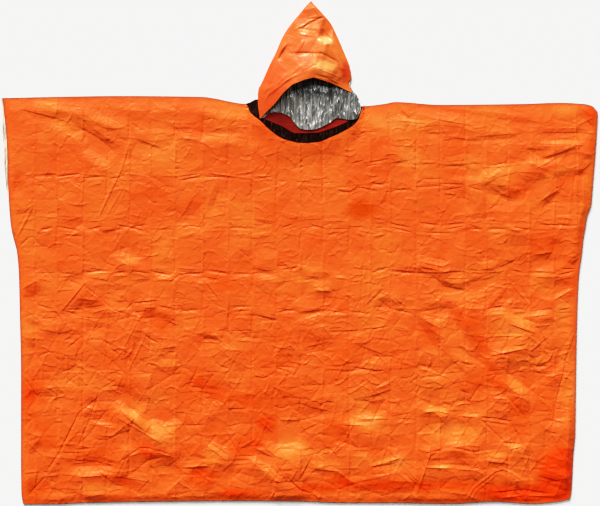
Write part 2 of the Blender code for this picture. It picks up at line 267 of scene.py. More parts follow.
def facet_net(pitch_x, pitch_y, dice, evenness=3):
    """Net of flat three-sided facets: corners scattered at this pitch, a few of them well up or down."""
    scattered = []
    reach_x, reach_y = HALF_WIDTH + 2 * pitch_x, HALF_LENGTH + 2 * pitch_y
    for row in range(int(2 * reach_y / pitch_y) + 1):
        for column in range(int(2 * reach_x / pitch_x) + 1):
            shift = 0.5 * (row % 2)
            scattered.append(Vector((
                (column + shift + CORNER_SCATTER * (dice.random() - 0.5)) * pitch_x - reach_x,
                (row + CORNER_SCATTER * (dice.random() - 0.5)) * pitch_y - reach_y,
            )))
    corners, edges, triangles, *_ = delaunay_2d_cdt(scattered, [], [], 0, SAME_POINT)
    sheet = BVHTree.FromPolygons([(p.x, p.y, dice.uniform(-1, 1) ** evenness) for p in corners], triangles)
    return Net(corners, edges, sheet)


def heights_on(net, x, y):
    """Heights of a net's facets, from -1 to 1, at many points."""
    down = Vector((0.0, 0.0, -1.0))
    hits = [net.sheet.ray_cast(Vector((px, py, 2.0)), down)[0] for px, py in zip(x, y)]
    return np.array([hit.z if hit else 0.0 for hit in hits])


def facets(x, y, pitch_x, pitch_y, dice):
    return heights_on(facet_net(pitch_x, pitch_y, dice), x, y)


def finish_film(name, bm, mesh, sharp_angle):
    """Shades a film mesh, with its sharper creases and its rim kept sharp, and makes it a piece."""
    bm.edges.index_update()
    rim = [edge.index for edge in bm.edges if edge.is_boundary]
    bm.to_mesh(mesh)
    bm.free()
    mesh.shade_smooth()
    mesh.set_sharp_from_angle(angle=math.radians(sharp_angle))
    for index in rim:
        mesh.edges[index].use_edge_sharp = True
    return add_object(name, mesh)


def film_piece(name, columns, rows, place, wall, closed=False):
    """Piece of film from a grid: place(column share, row share) gives its outer face, the wall grows inwards."""
    bm = bmesh.new()
    bmesh.ops.create_grid(bm, x_segments=columns, y_segments=rows, size=0.5)
    mesh = bpy.data.meshes.new(name)
    bm.to_mesh(mesh)
    flat = np.zeros(len(mesh.vertices) * 3)
    mesh.vertices.foreach_get("co", flat)
    flat = flat.reshape(-1, 3)
    x, y, z = place(flat[:, 0] + 0.5, flat[:, 1] + 0.5)
    mesh.vertices.foreach_set("co", np.stack([x, y, z], axis=1).ravel() * MM)
    bm.clear()
    bm.from_mesh(mesh)
    if closed:
        bmesh.ops.remove_doubles(bm, verts=bm.verts, dist=0.01 * MM)
        bmesh.ops.recalc_face_normals(bm, faces=bm.faces)
    piece = finish_film(name, bm, mesh, sharp_angle=7.0)
    film_wall = piece.modifiers.new("film wall", "SOLIDIFY")
    film_wall.thickness = wall * MM
    film_wall.offset = -1.0
    film_wall.material_offset = 1
    return piece


def pattern_place(tree, scale, stretch, seed=0.0):
    """Places for a pattern that repeats `scale` times a metre, stretched, and moved by a seed."""
    return add_node(tree, "Mapping", {
        "Vector": add_node(tree, "TexCoord").outputs["Object"], "Location": (seed, 0.37 * seed, 0.0),
        "Scale": (scale * stretch[0], scale * stretch[1], scale),
    }).outputs[0]


def add_bump(tree, height, depth, below):
    """Bump of a depth in metres, on top of the one below it."""
    sockets = {"Height": height, "Strength": 1.0, "Distance": depth}
    return add_node(tree, "Bump", {**sockets, "Normal": below} if below else sockets).outputs["Normal"]


def add_wrinkles(tree, scale, stretch, depth, below, seed):
    """Bump of small flat facets: four-sided pyramids of chance sizes, on places bent by a noise."""
    place = pattern_place(tree, scale, stretch, seed)
    bend = add_node(tree, "TexNoise", {"Vector": place, "Scale": 0.6, "Detail": 2.0}).outputs["Color"]
    bent = add_node(tree, "VectorMath", {0: bend, 1: (1.6, 1.6, 0.0), 2: place}, operation="MULTIPLY_ADD")
    cells = add_node(tree, "TexVoronoi", {"Vector": bent.outputs[0], "Scale": 1.0}, distance="CHEBYCHEV")
    return add_bump(tree, cells.outputs["Distance"], depth, below)


def add_streaks(tree, scale, stretch, depth, below):
    """Bump of sharp-crested little ridges, the crackle of thin film."""
    ridges = add_node(tree, "TexNoise", {
        "Vector": pattern_place(tree, scale, stretch), "Scale": 1.0, "Detail": 1.5, "Distortion": 0.6,
    }, noise_type="RIDGED_MULTIFRACTAL")
    return add_bump(tree, ridges.outputs[0], depth, below)


def add_mix(tree, share, under, over, **settings):
    return add_node(tree, "MixRGB", {0: share, 1: under, 2: over}, **settings).outputs[0]


def share_between(tree, value, low, high, **settings):
    """0 where a value is `low`, 1 where it is `high`, and level past them."""
    sockets = {"Value": value, "From Min": low, "From Max": high}
    return add_node(tree, "MapRange", sockets, **settings).outputs["Result"]


Patch = namedtuple("Patch", "x y half_x half_y colour")


def add_patch(tree, colour, patch):
    """Lays one soft-edged oval of another colour over a colour."""
    place = add_node(tree, "TexCoord").outputs["Object"]
    middle = (patch.x * MM, patch.y * MM, 0.0)
    size = (1.0 / (patch.half_x * MM), 1.0 / (patch.half_y * MM), 0.0)
    for operation, by in (("SUBTRACT", middle), ("MULTIPLY", size)):
        place = add_node(tree, "VectorMath", {0: place, 1: by}, operation=operation).outputs[0]
    reach = add_node(tree, "VectorMath", {0: place}, operation="LENGTH").outputs["Value"]
    share = share_between(tree, reach, 1.25, 0.35, interpolation_type="SMOOTHSTEP")
    return add_mix(tree, share, colour, (*patch.colour, 1.0))


def cell_number(tree, across, folds):
    """A different grey between each two folds of the pack, from a coordinate in metres."""
    share = share_between(tree, across, folds[0] * MM, folds[-1] * MM)
    greys = [((fold - folds[0]) / (folds[-1] - folds[0]), (i / len(folds),) * 3) for i, fold in enumerate(folds)]
    return add_ramp(tree, share, greys[:-1] + [(1.0, (1.0, 1.0, 1.0))], "CONSTANT")


def tint_across(tree, stops):
    """Colour that changes from left to right over the piece, from stops in metres from its middle."""
    place = add_node(tree, "TexCoord").outputs["Object"]
    across = add_node(tree, "SeparateXYZ", {0: place}).outputs["X"]
    low, high = stops[0][0], stops[-1][0]
    shares = [((at - low) / (high - low), colour) for at, colour in stops]
    return add_ramp(tree, share_between(tree, across, low, high), shares)


HUE_STOPS = (0.05, 0.34, 0.57, 0.84, 1.0)
# Painted shade: a dark brownish edge laid along the front panel's folded sides and shoulder fold.
RIM_SHADE_ORANGE = (0.28, 0.062, 0.026, 1.0)


def orange_film(name, hues, roughness, gloss=0.12, cells=0.18, drift=(0.0, 0.0), patches=(), painted=False):
    """Orange side of the film: pigmented polyethylene over the metal, satin, its hue a little uneven from one
    packing cell to the next. A painted piece has as attributes its own shift of hue, partly painted shade and
    light, and a painted dark rim of shade."""
    film, tree, shader = new_material(name)
    place = add_node(tree, "TexCoord").outputs["Object"]
    parts = add_node(tree, "SeparateXYZ", {0: place}).outputs
    column, row = cell_number(tree, parts["X"], PACK_COLUMNS), cell_number(tree, parts["Y"], PACK_ROWS)
    cell = add_node(tree, "CombineXYZ", {"X": column, "Y": row}).outputs[0]
    chance = add_node(tree, "TexWhiteNoise", {"Vector": cell}).outputs["Value"]
    cloud = add_node(tree, "TexNoise", {"Vector": place, "Scale": 7.0, "Detail": 3.0}).outputs["Fac"]
    shade = add_node(tree, "Math", {0: chance, 1: cells, 2: cloud}, operation="MULTIPLY_ADD").outputs[0]
    slow = add_node(tree, "VectorMath", {0: place, 1: (*drift, 0.0)}, operation="DOT_PRODUCT").outputs["Value"]
    hue = add_node(tree, "Math", {0: shade, 1: slow}, operation="ADD").outputs[0]
    # The shift of hue is partly painted shade and painted light.
    if painted:
        shift = add_node(tree, "Attribute", attribute_name="tint_and_painted_light_shift").outputs["Fac"]
        hue = add_node(tree, "Math", {0: hue, 1: shift}, operation="ADD").outputs[0]
    colour = add_ramp(tree, hue, list(zip(HUE_STOPS, hues)))
    for patch in patches:
        colour = add_patch(tree, colour, patch)
    # A dark rim of painted shade along the folded edges.
    if painted:
        rim_shade = add_node(tree, "Attribute", attribute_name="rim_painted_shade").outputs["Fac"]
        colour = add_mix(tree, rim_shade, colour, RIM_SHADE_ORANGE)
    tree.links.new(colour, shader.inputs["Base Color"])
    shader.inputs["Roughness"].default_value = roughness
    shader.inputs["Metallic"].default_value = 0.12
    shader.inputs["Specular IOR Level"].default_value = gloss
    normal = add_wrinkles(tree, scale=42.0, stretch=(1.0, 1.6), depth=0.0005, below=None, seed=3.1)
    normal = add_streaks(tree, scale=60.0, stretch=(1.0, 1.3), depth=0.0004, below=normal)
    normal = add_wrinkles(tree, scale=190.0, stretch=(1.3, 1.0), depth=0.0002, below=normal, seed=7.7)
    tree.links.new(normal, shader.inputs["Normal"])
    return film


# Painted glints: upright streaks of grey and white multiplied into the silver's colour.
PAINTED_GLINT_GREYS = ((0.38, (0.40, 0.39, 0.38)), (0.6, (1.0, 1.0, 1.0)))


def silver_film(name, stops, dulls, crease, patches=()):
    """Silver side of the film: vacuum-metallised, finely crinkled, its colour streaked with painted glints. Its
    colour and its dullness are stops from left to right in metres, or a single one."""
    film, tree, shader = new_material(name)
    streaks = add_node(tree, "TexNoise", {"Vector": pattern_place(tree, 1.0, (190.0, 16.0)), "Scale": 1.0})
    colour = tint_across(tree, stops) if len(stops) > 1 else (*stops[0][1], 1.0)
    for patch in patches:
        colour = add_patch(tree, colour, patch)
    greys = add_ramp(tree, streaks.outputs["Fac"], PAINTED_GLINT_GREYS)
    tree.links.new(add_mix(tree, 1.0, colour, greys, blend_type="MULTIPLY"), shader.inputs["Base Color"])
    if len(dulls) > 1:
        tree.links.new(tint_across(tree, [(at, (dull,) * 3) for at, dull in dulls]), shader.inputs["Roughness"])
    else:
        shader.inputs["Roughness"].default_value = dulls[0][1]
    shader.inputs["Metallic"].default_value = 1.0
    normal = add_wrinkles(tree, scale=34.0, stretch=(2.3, 0.7), depth=0.0028 * crease, below=None, seed=1.3)
    normal = add_streaks(tree, scale=120.0, stretch=(1.8, 0.3), depth=0.0036 * crease, below=normal)
    tree.links.new(normal, shader.inputs["Normal"])
    return film


ORANGES = (                     # from the deepest to the palest
    (0.79, 0.040, 0.0028), (0.77, 0.073, 0.0086), (0.79, 0.090, 0.0145), (0.82, 0.123, 0.0185),
    (0.84, 0.150, 0.030),
)
# Painted shade and a painted highlight on the back panel's silver. It is nearly black where it shows in the neck,
# for the shade there. Along the left arm opening it is pale peach: a painted highlight tinted by the orange it
# reflects.
SILVER_IN_PAINTED_NECK_SHADE, SILVER_WITH_PAINTED_SIDE_HIGHLIGHT = (0.12, 0.06, 0.045), (0.98, 0.80, 0.66)
BACK_CRUMPLE = 0.25
BACK_SEAT = WALL - 2.0 * BACK_CRUMPLE
orange_side = orange_film("orange_film", ORANGES, roughness=0.38)
silver_side = silver_film(
    "silver_film", crease=0.7, stops=((-0.7, SILVER_WITH_PAINTED_SIDE_HIGHLIGHT), (-0.6, SILVER_IN_PAINTED_NECK_SHADE), (0.7, SILVER_IN_PAINTED_NECK_SHADE)),
    dulls=((-0.7, 0.85), (-0.6, 0.3), (0.7, 0.3)),
)


def back_place(across, up):
    x, y = panel_xy(mix(-HALF_WIDTH, HALF_WIDTH, across), up, BACK_NECK, "back_left")
    return x, y, BACK_SEAT + BACK_CRUMPLE * (1.0 + facets(x, y, pitch_x=46.0, pitch_y=44.0, dice=random.Random(21)))


back_panel = film_piece("back_panel_film", columns=120, rows=84, place=back_place, wall=FILM_WALL)
back_panel.data.materials.append(silver_side)
back_panel.data.materials.append(orange_side)
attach(back_panel, "root")
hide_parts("back_panel")

# ---- Neck turning -------------------------------------------------------------------------------------------
# The back panel's neck edge, folded in over itself and welded, so that its orange side shows as a crescent
# between the silver of the hood and the front neckline. It lies deep in the neck; its dark red is painted shade.
Turning = namedtuple("Turning", "x low high")
TURNING = [
    Turning(-89, 334, 345), Turning(-69, 326, 360), Turning(-41, 314, 360), Turning(-9, 298, 336),
    Turning(39, 299, 326), Turning(76, 309, 340), Turning(114, 324, 350), Turning(134, 333, 346),
]
# Painted shade: the turned-in orange film's colours, darkened to a deep red for the shade deep in the neck.
TURNING_REDS_IN_PAINTED_SHADE = (
    (0.15, 0.008, 0.005), (0.17, 0.0088, 0.0055), (0.215, 0.0108, 0.006), (0.26, 0.013, 0.0067),
    (0.28, 0.014, 0.007),
)
RIPPLE, RIPPLE_LENGTH = 0.35, 9.0


def turning_place(across, up):
    x = mix(TURNING[0].x, TURNING[-1].x, across)
    y = mix(read(TURNING, "x", "low", x), read(TURNING, "x", "high", x), up)
    ripple = RIPPLE * np.sin(x / RIPPLE_LENGTH) * np.sin(3.1 * up)
    return x, y, TURNING_Z + WALL - RIPPLE + ripple


turning = film_piece("neck_turning_film", columns=90, rows=10, place=turning_place, wall=FILM_WALL)
turning.data.materials.append(orange_film("orange_film_turned_in", TURNING_REDS_IN_PAINTED_SHADE, roughness=0.5))
turning.data.materials.append(silver_side)
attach(turning, "root")
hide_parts("neck_turning")

# ---- Front panel --------------------------------------------------------------------------------------------
# The upper panel, orange side up, cut with a scooped neckline. It keeps the creases of the pack: straight folds
# up and down, bands of short ridges across, and a crumpled stretch above the hem.
FRONT_NECK = [
    Edge(NECK_LEFT, 371), Edge(-124, 351), Edge(-99, 329), Edge(-69, 301), Edge(-36, 281), Edge(14, 272),
    Edge(51, 276), Edge(76, 286), Edge(114, 304), Edge(139, 321), Edge(149, 336), Edge(154, 352),
    Edge(NECK_RIGHT, 366),
]
Fold = namedtuple("Fold", "x0 y0 x1 y1 height half_width")
FOLDS = [Fold(*row) for row in (
    (-650, 378, -545, 352, 3.4, 34), (-545, 352, -440, 312, 3.8, 34), (-690, 352, -600, 330, -1.2, 26),
    (-600, 330, -480, 272, -2.6, 30), (240, 352, 430, 328, 2.4, 34), (330, 292, 560, 292, -2.0, 30),
    (590, 238, 700, 262, 4.2, 36), (470, 186, 600, 206, 4.0, 32), (480, 150, 600, 172, -2.4, 30),
    (690, 200, 690, 20, 2.2, 26), (-180, 280, -60, 250, 2.6, 34), (-270, 150, -300, 80, -2.4, 32),
    (110, 250, 190, 222, 2.2, 32), (-440, -15, -395, -45, 3.2, 34), (-590, -142, -535, -80, 2.6, 28),
    (-535, -80, -470, -150, 2.4, 28), (-395, -190, -345, -232, 3.8, 30), (-110, -66, -50, -60, 2.8, 30),
    (10, -172, 80, -168, 3.6, 34), (20, -100, 80, -112, -2.4, 30), (300, -20, 370, -28, 3.0, 32),
    (380, -84, 490, -66, -2.8, 32), (480, -160, 600, -160, 4.4, 44), (620, -120, 690, -84, 3.4, 30),
    (400, -160, 430, -250, -2.8, 40), (30, -232, 80, -240, -2.6, 32), (160, -240, 220, -254, -2.6, 30),
    (-500, -352, -560, -420, 1.2, 28), (-560, -420, -630, -545, 1.2, 28), (-512, -380, -556, -490, 0.8, 24),
    (690, -185, 650, -330, 3.2, 26), (-450, -412, -400, -410, 4.4, 32), (-400, -410, -340, -468, 4.4, 34),
    (-570, -528, -465, -534, -3.2, 28), (-545, -560, -470, -556, 3.6, 32), (-460, -562, -430, -505, 3.4, 28),
    (-430, -500, -310, -500, 3.2, 28), (-320, -505, -290, -562, 3.4, 28), (-240, -478, -180, -515, 4.0, 34),
    (-250, -545, -170, -552, -3.2, 32), (-110, -520, -50, -556, 4.2, 34), (-140, -488, -70, -508, -3.0, 28),
    (-40, -500, 0, -500, 3.2, 40), (30, -540, 110, -556, -3.4, 34), (30, -400, 80, -392, -3.0, 34),
    (110, -424, 225, -406, 4.4, 34), (180, -528, 250, -506, 4.2, 32), (310, -392, 445, -410, 4.2, 34),
    (300, -560, 325, -502, 3.2, 28), (325, -502, 400, -492, 3.0, 28), (400, -492, 460, -556, 3.4, 28),
    (240, -590, 290, -560, 2.8, 28), (520, -478, 560, -488, 3.6, 32), (560, -560, 660, -540, -3.4, 48),
    (500, -605, 640, -612, 3.4, 28), (-450, -590, -380, -580, -3.0, 32),
)]

# Thin creases on top of the large folds, each a ridge, or a trough where its height is negative.
Line = namedtuple("Line", "x0 y0 x1 y1 height")
LINES = [Line(*row) for row in (
    # Corner of the right shoulder, and the long creases at the lower left.
    (672, 392, 728, 366, 0.8), (690, 372, 735, 340, 1.0), (700, 352, 738, 312, 0.8), (694, 318, 736, 338, 0.7),
    (-507, -365, -550, -400, -1.4), (-550, -400, -600, -500, -1.8), (-600, -500, -627, -540, -1.2),
    (-500, -345, -525, -420, -1.1), (-525, -420, -552, -482, -1.1), (-455, -315, -500, -345, -0.8),
    # Long straight creases, arches and fans of fine ones.
    (-445, 205, -500, 90, 1.1), (-500, 90, -498, 60, 0.9), (-440, 160, -482, 90, 0.7), (-425, 270, -445, 205, 0.8),
    (-664, 118, -706, 35, 1.1), (-700, 15, -675, 38, -1.1), (-675, 38, -662, 38, -0.9), (-662, 38, -648, 18, -1.2),
    (-600, 183, -560, 188, -1.4), (-660, 190, -615, 189, -1.2), (-290, 181, -236, 193, -1.4),
    (-225, 195, -165, 187, -1.3), (-160, 193, -115, 198, -1.2), (-150, 182, -112, 181, -1.1),
    (-105, 188, -72, 188, -1.1), (-50, 178, -35, 177, -0.8), (-5, 176, 28, 175, -1.1), (60, 172, 92, 176, -0.7),
    (102, 153, 128, 150, -1.2), (128, 152, 145, 163, -1.3), (145, 163, 190, 155, -1.3), (165, 215, 210, 221, -1.1),
    (232, 62, 282, 49, -1.3), (-455, 68, -400, 59, -1.3), (-590, 44, -545, 41, -1.2), (-108, 77, -70, 71, -1.0),
    (25, 70, 66, 59, -1.1), (75, 45, 100, 50, -0.9), (290, 163, 355, 165, -1.1), (365, 145, 392, 142, -1.2),
    (250, 222, 298, 219, -1.0), (300, 50, 380, 48, -1.0), (240, 155, 280, 160, -0.9), (295, 172, 310, 183, -0.9),
    (310, 183, 355, 184, -0.9), (600, 70, 690, 66, -1.2), (158, -30, 152, -150, -0.9), (692, -190, 668, -262, -1.1),
    (640, -240, 618, -290, -0.8), (-432, -142, -418, -127, -1.2), (-418, -127, -360, -121, -1.3),
    (-352, -132, -305, -145, -1.2), (-322, -74, -300, -56, -1.3), (-300, -55, -240, -51, -1.3),
    (-240, -62, -200, -68, -1.1), (-236, -74, -200, -120, -1.1), (-525, -217, -490, -218, -0.9),
    (-490, -219, -470, -232, -1.1), (-470, -232, -456, -210, -1.2), (-578, -238, -540, -206, -0.9),
    (-590, -143, -540, -142, -1.4), (-548, -166, -518, -172, -1.4), (-585, -140, -537, -82, -1.1),
    (-537, -82, -500, -112, -0.8), (-500, -112, -465, -142, -0.7), (-540, -48, -470, -47, -0.9),
    (-520, -64, -480, -72, -1.0), (-160, -52, -115, -54, -1.2), (-55, -34, -30, -33, -1.0),
    (-20, -42, -6, -36, -1.3), (75, -198, 145, -196, -1.0), (-170, -196, -112, -195, -1.0),
    (180, -192, 215, -186, -1.2), (-25, -152, -14, -215, -1.1), (170, -130, 205, -96, -0.9),
    (235, -110, 262, -132, 0.9), (480, -84, 530, -90, 0.8), (530, -78, 575, -132, 1.1), (545, -72, 582, -135, -0.9),
    (590, -182, 618, -228, -1.1), (470, -210, 580, -206, 0.9),
    # Bends and hooks in the crumpled stretch.
    (-560, -492, -510, -487, -1.2), (-600, -500, -545, -500, -1.0), (-450, -418, -452, -450, -0.9),
    (-452, -450, -480, -468, -1.0), (-480, -468, -510, -466, -0.8), (-432, -510, -458, -562, -1.3),
    (-430, -508, -398, -488, -1.2), (-398, -488, -370, -488, -1.1), (-360, -492, -318, -505, -1.2),
    (-320, -508, -290, -562, -1.3), (-500, -548, -462, -578, -1.2), (-462, -578, -440, -585, -1.0),
    (-300, -440, -282, -480, -0.9), (-290, -432, -240, -430, -1.1), (-292, -538, -225, -537, -1.3),
    (-240, -530, -200, -528, -1.2), (-178, -435, -150, -428, -1.1), (-230, -470, -180, -505, -1.1),
    (-185, -445, -155, -500, -0.9), (-150, -508, -110, -508, -0.9), (-60, -458, -30, -480, -0.8),
    (-62, -520, -38, -565, -1.2), (-30, -560, 0, -592, -1.3), (0, -592, 30, -600, -1.2), (30, -600, 50, -620, -1.2),
    (-70, -620, -60, -598, -1.2), (-60, -598, -30, -590, -1.1), (2, -566, 28, -515, -1.2),
    (28, -505, 62, -500, -1.3), (15, -442, 50, -425, -1.3), (0, -456, 15, -440, -1.0), (78, -505, 98, -478, 1.1),
    (100, -300, 150, -292, -1.1), (150, -290, 205, -296, -1.1), (150, -330, 165, -318, -0.9),
    (185, -536, 235, -527, -1.3), (255, -545, 292, -580, -1.1), (268, -540, 300, -575, 0.9),
    (225, -430, 240, -470, -0.8), (245, -415, 290, -418, -0.9), (300, -306, 275, -328, -0.8),
    # Left shoulder and sleeve end.
    (-695, 359, -600, 335, 1), (-550, 315, -515, 297, 0.6), (-515, 297, -465, 262, 0.5),
    (-490, 312, -462, 309, 0.6), (-395, 280, -345, 262, 1), (-435, 287, -395, 283, 0.6),
    (-312, 311, -272, 313, 0.5), (-610, 372, -540, 364, 0.7), (-425, 272, -445, 205, 0.4),
    (-445, 205, -470, 160, 0.4), (-470, 160, -500, 90, 0.5), (-662, 115, -700, 45, 0.5),
    (-690, 100, -665, 120, 0.7),
    # The first packing crease across, left half.
    (-688, 192, -662, 197, 0.6), (-655, 189, -612, 186, 0.6), (-606, 183, -565, 186, 0.9),
    (-565, 186, -548, 190, 0.9), (-600, 195, -565, 200, 0.5), (-655, 178, -612, 180, 0.4),
    (-545, 196, -470, 190, 0.6), (-450, 196, -400, 194, 0.6), (-345, 191, -300, 190, 0.6),
    (-300, 183, -232, 192, 1), (-225, 194, -160, 189, 1), (-155, 193, -115, 198, 0.9), (-150, 183, -112, 181, 0.8),
    (-105, 189, -75, 189, 0.7), (-105, 183, -72, 180, 0.5),
    # The same crease, right half, where it splits in two.
    (0, 176, 25, 174, 0.6), (65, 170, 100, 176, 0.4), (100, 157, 125, 152, 0.7), (125, 152, 150, 163, 0.8),
    (150, 163, 190, 156, 0.8), (170, 172, 195, 182, 0.6), (175, 213, 212, 220, 0.7), (160, 226, 205, 232, 0.4),
    (240, 160, 290, 157, 0.6), (290, 165, 360, 160, 0.6), (360, 148, 395, 142, 0.8), (240, 222, 300, 220, 0.6),
    (300, 225, 350, 224, 0.6), (340, 220, 460, 224, 0.5),
    # Right shoulder and sleeve end.
    (345, 362, 420, 356, 0.8), (252, 365, 272, 340, 0.8), (245, 330, 320, 322, 0.7), (330, 335, 430, 318, 0.9),
    (310, 299, 370, 301, 0.5), (380, 288, 440, 281, 0.6), (440, 290, 530, 297, 0.6), (600, 300, 700, 302, 0.7),
    (700, 302, 740, 296, 0.8), (600, 272, 700, 268, 0.7), (560, 262, 610, 258, 0.6), (610, 238, 650, 250, 1.1),
    (650, 250, 685, 264, 1), (530, 300, 570, 265, 0.4), (460, 212, 520, 216, 0.8), (520, 218, 550, 222, 0.6),
    (460, 170, 500, 190, 0.35), (500, 190, 545, 202, 0.5), (545, 201, 600, 199, 0.6), (545, 196, 600, 182, 0.4),
    (475, 165, 515, 145, 0.45), (540, 152, 595, 170, 0.3), (605, 130, 650, 160, 1.1), (590, 210, 640, 236, 1),
    (700, 202, 730, 225, 0.8), (683, 195, 672, 80, 0.7), (697, 190, 690, 40, 0.6), (712, 205, 706, 60, 0.6),
    (630, 95, 650, 20, 0.6),
    # The pull under the neckline.
    (-95, 238, -50, 252, 0.7), (-220, 240, -180, 222, 0.5), (-300, 85, -245, 165, 0.4),
    # The second packing crease across.
    (-590, 75, -545, 90, 0.5), (-700, 75, -660, 85, 0.6), (-700, 60, -655, 57, 0.6), (-520, 60, -500, 48, 0.6),
    (-490, 55, -460, 58, 1), (-448, 70, -400, 58, 0.9), (-360, 55, -320, 68, 0.6), (-300, 60, -280, 70, 0.6),
    (-600, 45, -550, 42, 0.6), (-105, 78, -70, 72, 0.6), (-150, 60, -110, 63, 0.6), (35, 66, 70, 60, 0.6),
    (150, 55, 190, 48, 0.6), (200, 60, 240, 50, 0.6), (430, 75, 455, 80, 0.6), (410, 60, 455, 63, 0.7),
    (530, 55, 560, 57, 0.7), (600, 75, 630, 70, 0.9), (635, 90, 680, 84, 0.7), (650, 75, 690, 62, 0.8),
    # Middle of the panel, left.
    (-680, -35, -655, -38, 0.6), (-700, -95, -650, -68, 1.1), (-520, -50, -460, -52, 0.6),
    (-520, -64, -485, -72, 0.7), (-600, -95, -565, -92, 0.8), (-590, -142, -535, -76, 1),
    (-530, -95, -490, -125, 0.7), (-590, -144, -555, -147, 0.8), (-555, -115, -500, -120, 0.8),
    (-515, -150, -480, -141, 1.1), (-480, -141, -450, -152, 1), (-545, -168, -525, -171, 1),
    (-460, -120, -435, -120, 0.8), (-400, -122, -355, -118, 1), (-390, -137, -360, -137, 1.1),
    (-395, -175, -365, -168, 0.7), (-350, -133, -310, -141, 0.6), (-325, -172, -305, -180, 1.1),
    (-400, -165, -450, -260, 0.8), (-380, -200, -430, -300, 1), (-390, -203, -350, -229, -1.5),
    (-350, -240, -305, -233, 1), (-580, -235, -540, -205, 0.8), (-470, -235, -455, -212, 1),
    (-650, -190, -600, -200, 0.7), (-600, -200, -560, -192, 0.7), (-600, -150, -585, -190, 0.6),
    (-575, -298, -535, -302, 0.8), (-500, -300, -460, -297, 0.7),
    # Middle of the panel, centre.
    (-232, -75, -200, -118, 1), (-230, -63, -195, -70, 0.6), (-300, -52, -240, -50, 0.8),
    (-120, -48, -70, -50, 0.8), (-95, -70, -60, -66, 0.7), (-25, -42, -10, -35, 0.8), (-10, -33, 15, -38, 0.6),
    (20, -58, 50, -62, 0.8), (90, -62, 120, -66, 0.8), (40, -95, 80, -96, 1), (-200, -140, -180, -146, 0.8),
    (-100, -155, -58, -166, 1.1), (-95, -176, -60, -174, 0.7), (0, -148, 50, -142, 1.1), (20, -166, 50, -156, 0.8),
    (35, -190, 72, -182, 0.8), (-25, -155, -15, -215, 0.7), (-15, -215, 0, -242, 0.8), (15, -236, 70, -222, 0.8),
    (155, -232, 205, -252, 1.1), (165, -130, 200, -92, 0.6), (100, -100, 125, -125, 0.4),
    (155, -50, 155, -135, 0.5), (155, -190, 215, -185, 0.8), (80, -198, 140, -192, 0.6), (-30, -248, -15, -262, 1),
    (-250, -222, -200, -225, 1), (-210, -205, -175, -240, 0.7), (-170, -200, -110, -197, 0.8),
    (160, -290, 210, -294, 0.8),
    # Middle of the panel, right.
    (440, -2, 465, 6, 0.8), (350, -50, 390, -44, 1), (260, -45, 320, -50, 0.7), (300, -22, 360, -36, 1),
    (455, -42, 485, -40, 0.8), (500, -35, 540, -15, 0.8), (590, -5, 630, 0, 1.1), (680, -25, 700, -10, 1.3),
    (380, -85, 415, -90, 1.1), (420, -82, 455, -72, 1), (455, -68, 480, -60, 1.3), (640, -116, 680, -92, 1.4),
    (470, -138, 500, -108, 0.6), (550, -115, 570, -132, 0.6), (240, -138, 300, -142, 0.8),
    (310, -168, 345, -186, 1.1), (480, -154, 510, -154, 1), (525, -178, 585, -200, 1.5), (570, -160, 620, -155, 1),
    (585, -185, 625, -180, 1.3), (590, -190, 620, -225, 0.6), (480, -256, 560, -240, 1.5),
    (690, -180, 668, -260, 0.8), (385, -125, 395, -230, 1),
    # Crumpled stretch, left.
    (-690, -318, -650, -370, 0.7), (-522, -428, -470, -437, 0.8), (-436, -404, -388, -442, 1.5),
    (-445, -416, -345, -475, 1.2), (-340, -434, -305, -429, 0.6), (-470, -462, -448, -440, 0.8),
    (-560, -526, -510, -520, 1.2), (-510, -527, -465, -532, 1.2), (-550, -560, -470, -554, 1.1),
    (-495, -548, -460, -580, 0.8), (-458, -563, -432, -512, 1.3), (-432, -510, -400, -500, 1),
    (-400, -500, -345, -500, 0.6), (-345, -502, -318, -509, 1), (-320, -510, -292, -562, 1.3),
    (-372, -505, -318, -506, 0.8), (-455, -558, -372, -572, 1.2), (-350, -554, -320, -552, 0.6),
    (-290, -562, -335, -602, 1), (-290, -560, -262, -592, 0.6), (-305, -430, -280, -480, 0.7),
    (-290, -538, -235, -536, 1.2), (-600, -590, -570, -585, 0.7), (-640, -560, -600, -555, 1.1),
    (-700, -552, -650, -546, 1.1), (-680, -500, -645, -460, 0.7),
    # Crumpled stretch, centre.
    (-232, -360, -200, -390, 0.7), (-250, -345, -205, -352, 0.8), (-230, -482, -185, -516, 1.1),
    (-262, -533, -200, -530, 1.3), (-190, -430, -150, -500, 0.6), (-150, -490, -110, -465, 1),
    (-110, -488, -66, -510, 1.1), (-110, -524, -85, -528, 1), (-85, -526, -60, -556, 1.1),
    (-75, -564, -40, -574, 0.7), (-30, -560, 5, -590, 1), (0, -560, 30, -512, 1.1), (30, -508, 75, -498, 1.1),
    (30, -538, 95, -546, 1.3), (95, -546, 130, -575, 1), (-100, -420, -60, -455, 1.1), (-40, -418, 0, -418, 1.1),
    (30, -385, 75, -395, 1.1), (20, -440, 50, -425, 1), (0, -458, 18, -438, 1), (115, -430, 158, -430, 1.4),
    (155, -416, 222, -414, 1.2), (170, -360, 225, -342, 1.1), (130, -350, 160, -330, 1), (85, -500, 115, -478, 1),
    (185, -532, 215, -524, 1.4), (215, -524, 250, -512, 1.4), (190, -560, 240, -550, 0.7),
    (100, -538, 150, -538, 0.8), (-60, -590, -75, -620, 0.8), (-10, -585, -60, -600, 1), (10, -590, 50, -615, 1),
    # Crumpled stretch, right.
    (240, -424, 280, -426, 0.6), (240, -545, 280, -580, 0.8),
    # Lower left.
    (-689, -311, -668, -342, -1.5), (-668, -342, -648, -370, -1.5), (-557, -520, -516, -521, -2.2),
    (-516, -521, -467, -533, -2.2), (-505, -551, -485, -552, 1.4), (-520, -428, -470, -430, 1.4),
    (-675, -603, -634, -558, -1.2), (-640, -250, -642, -330, 0.8), (-578, -240, -580, -320, 0.8),
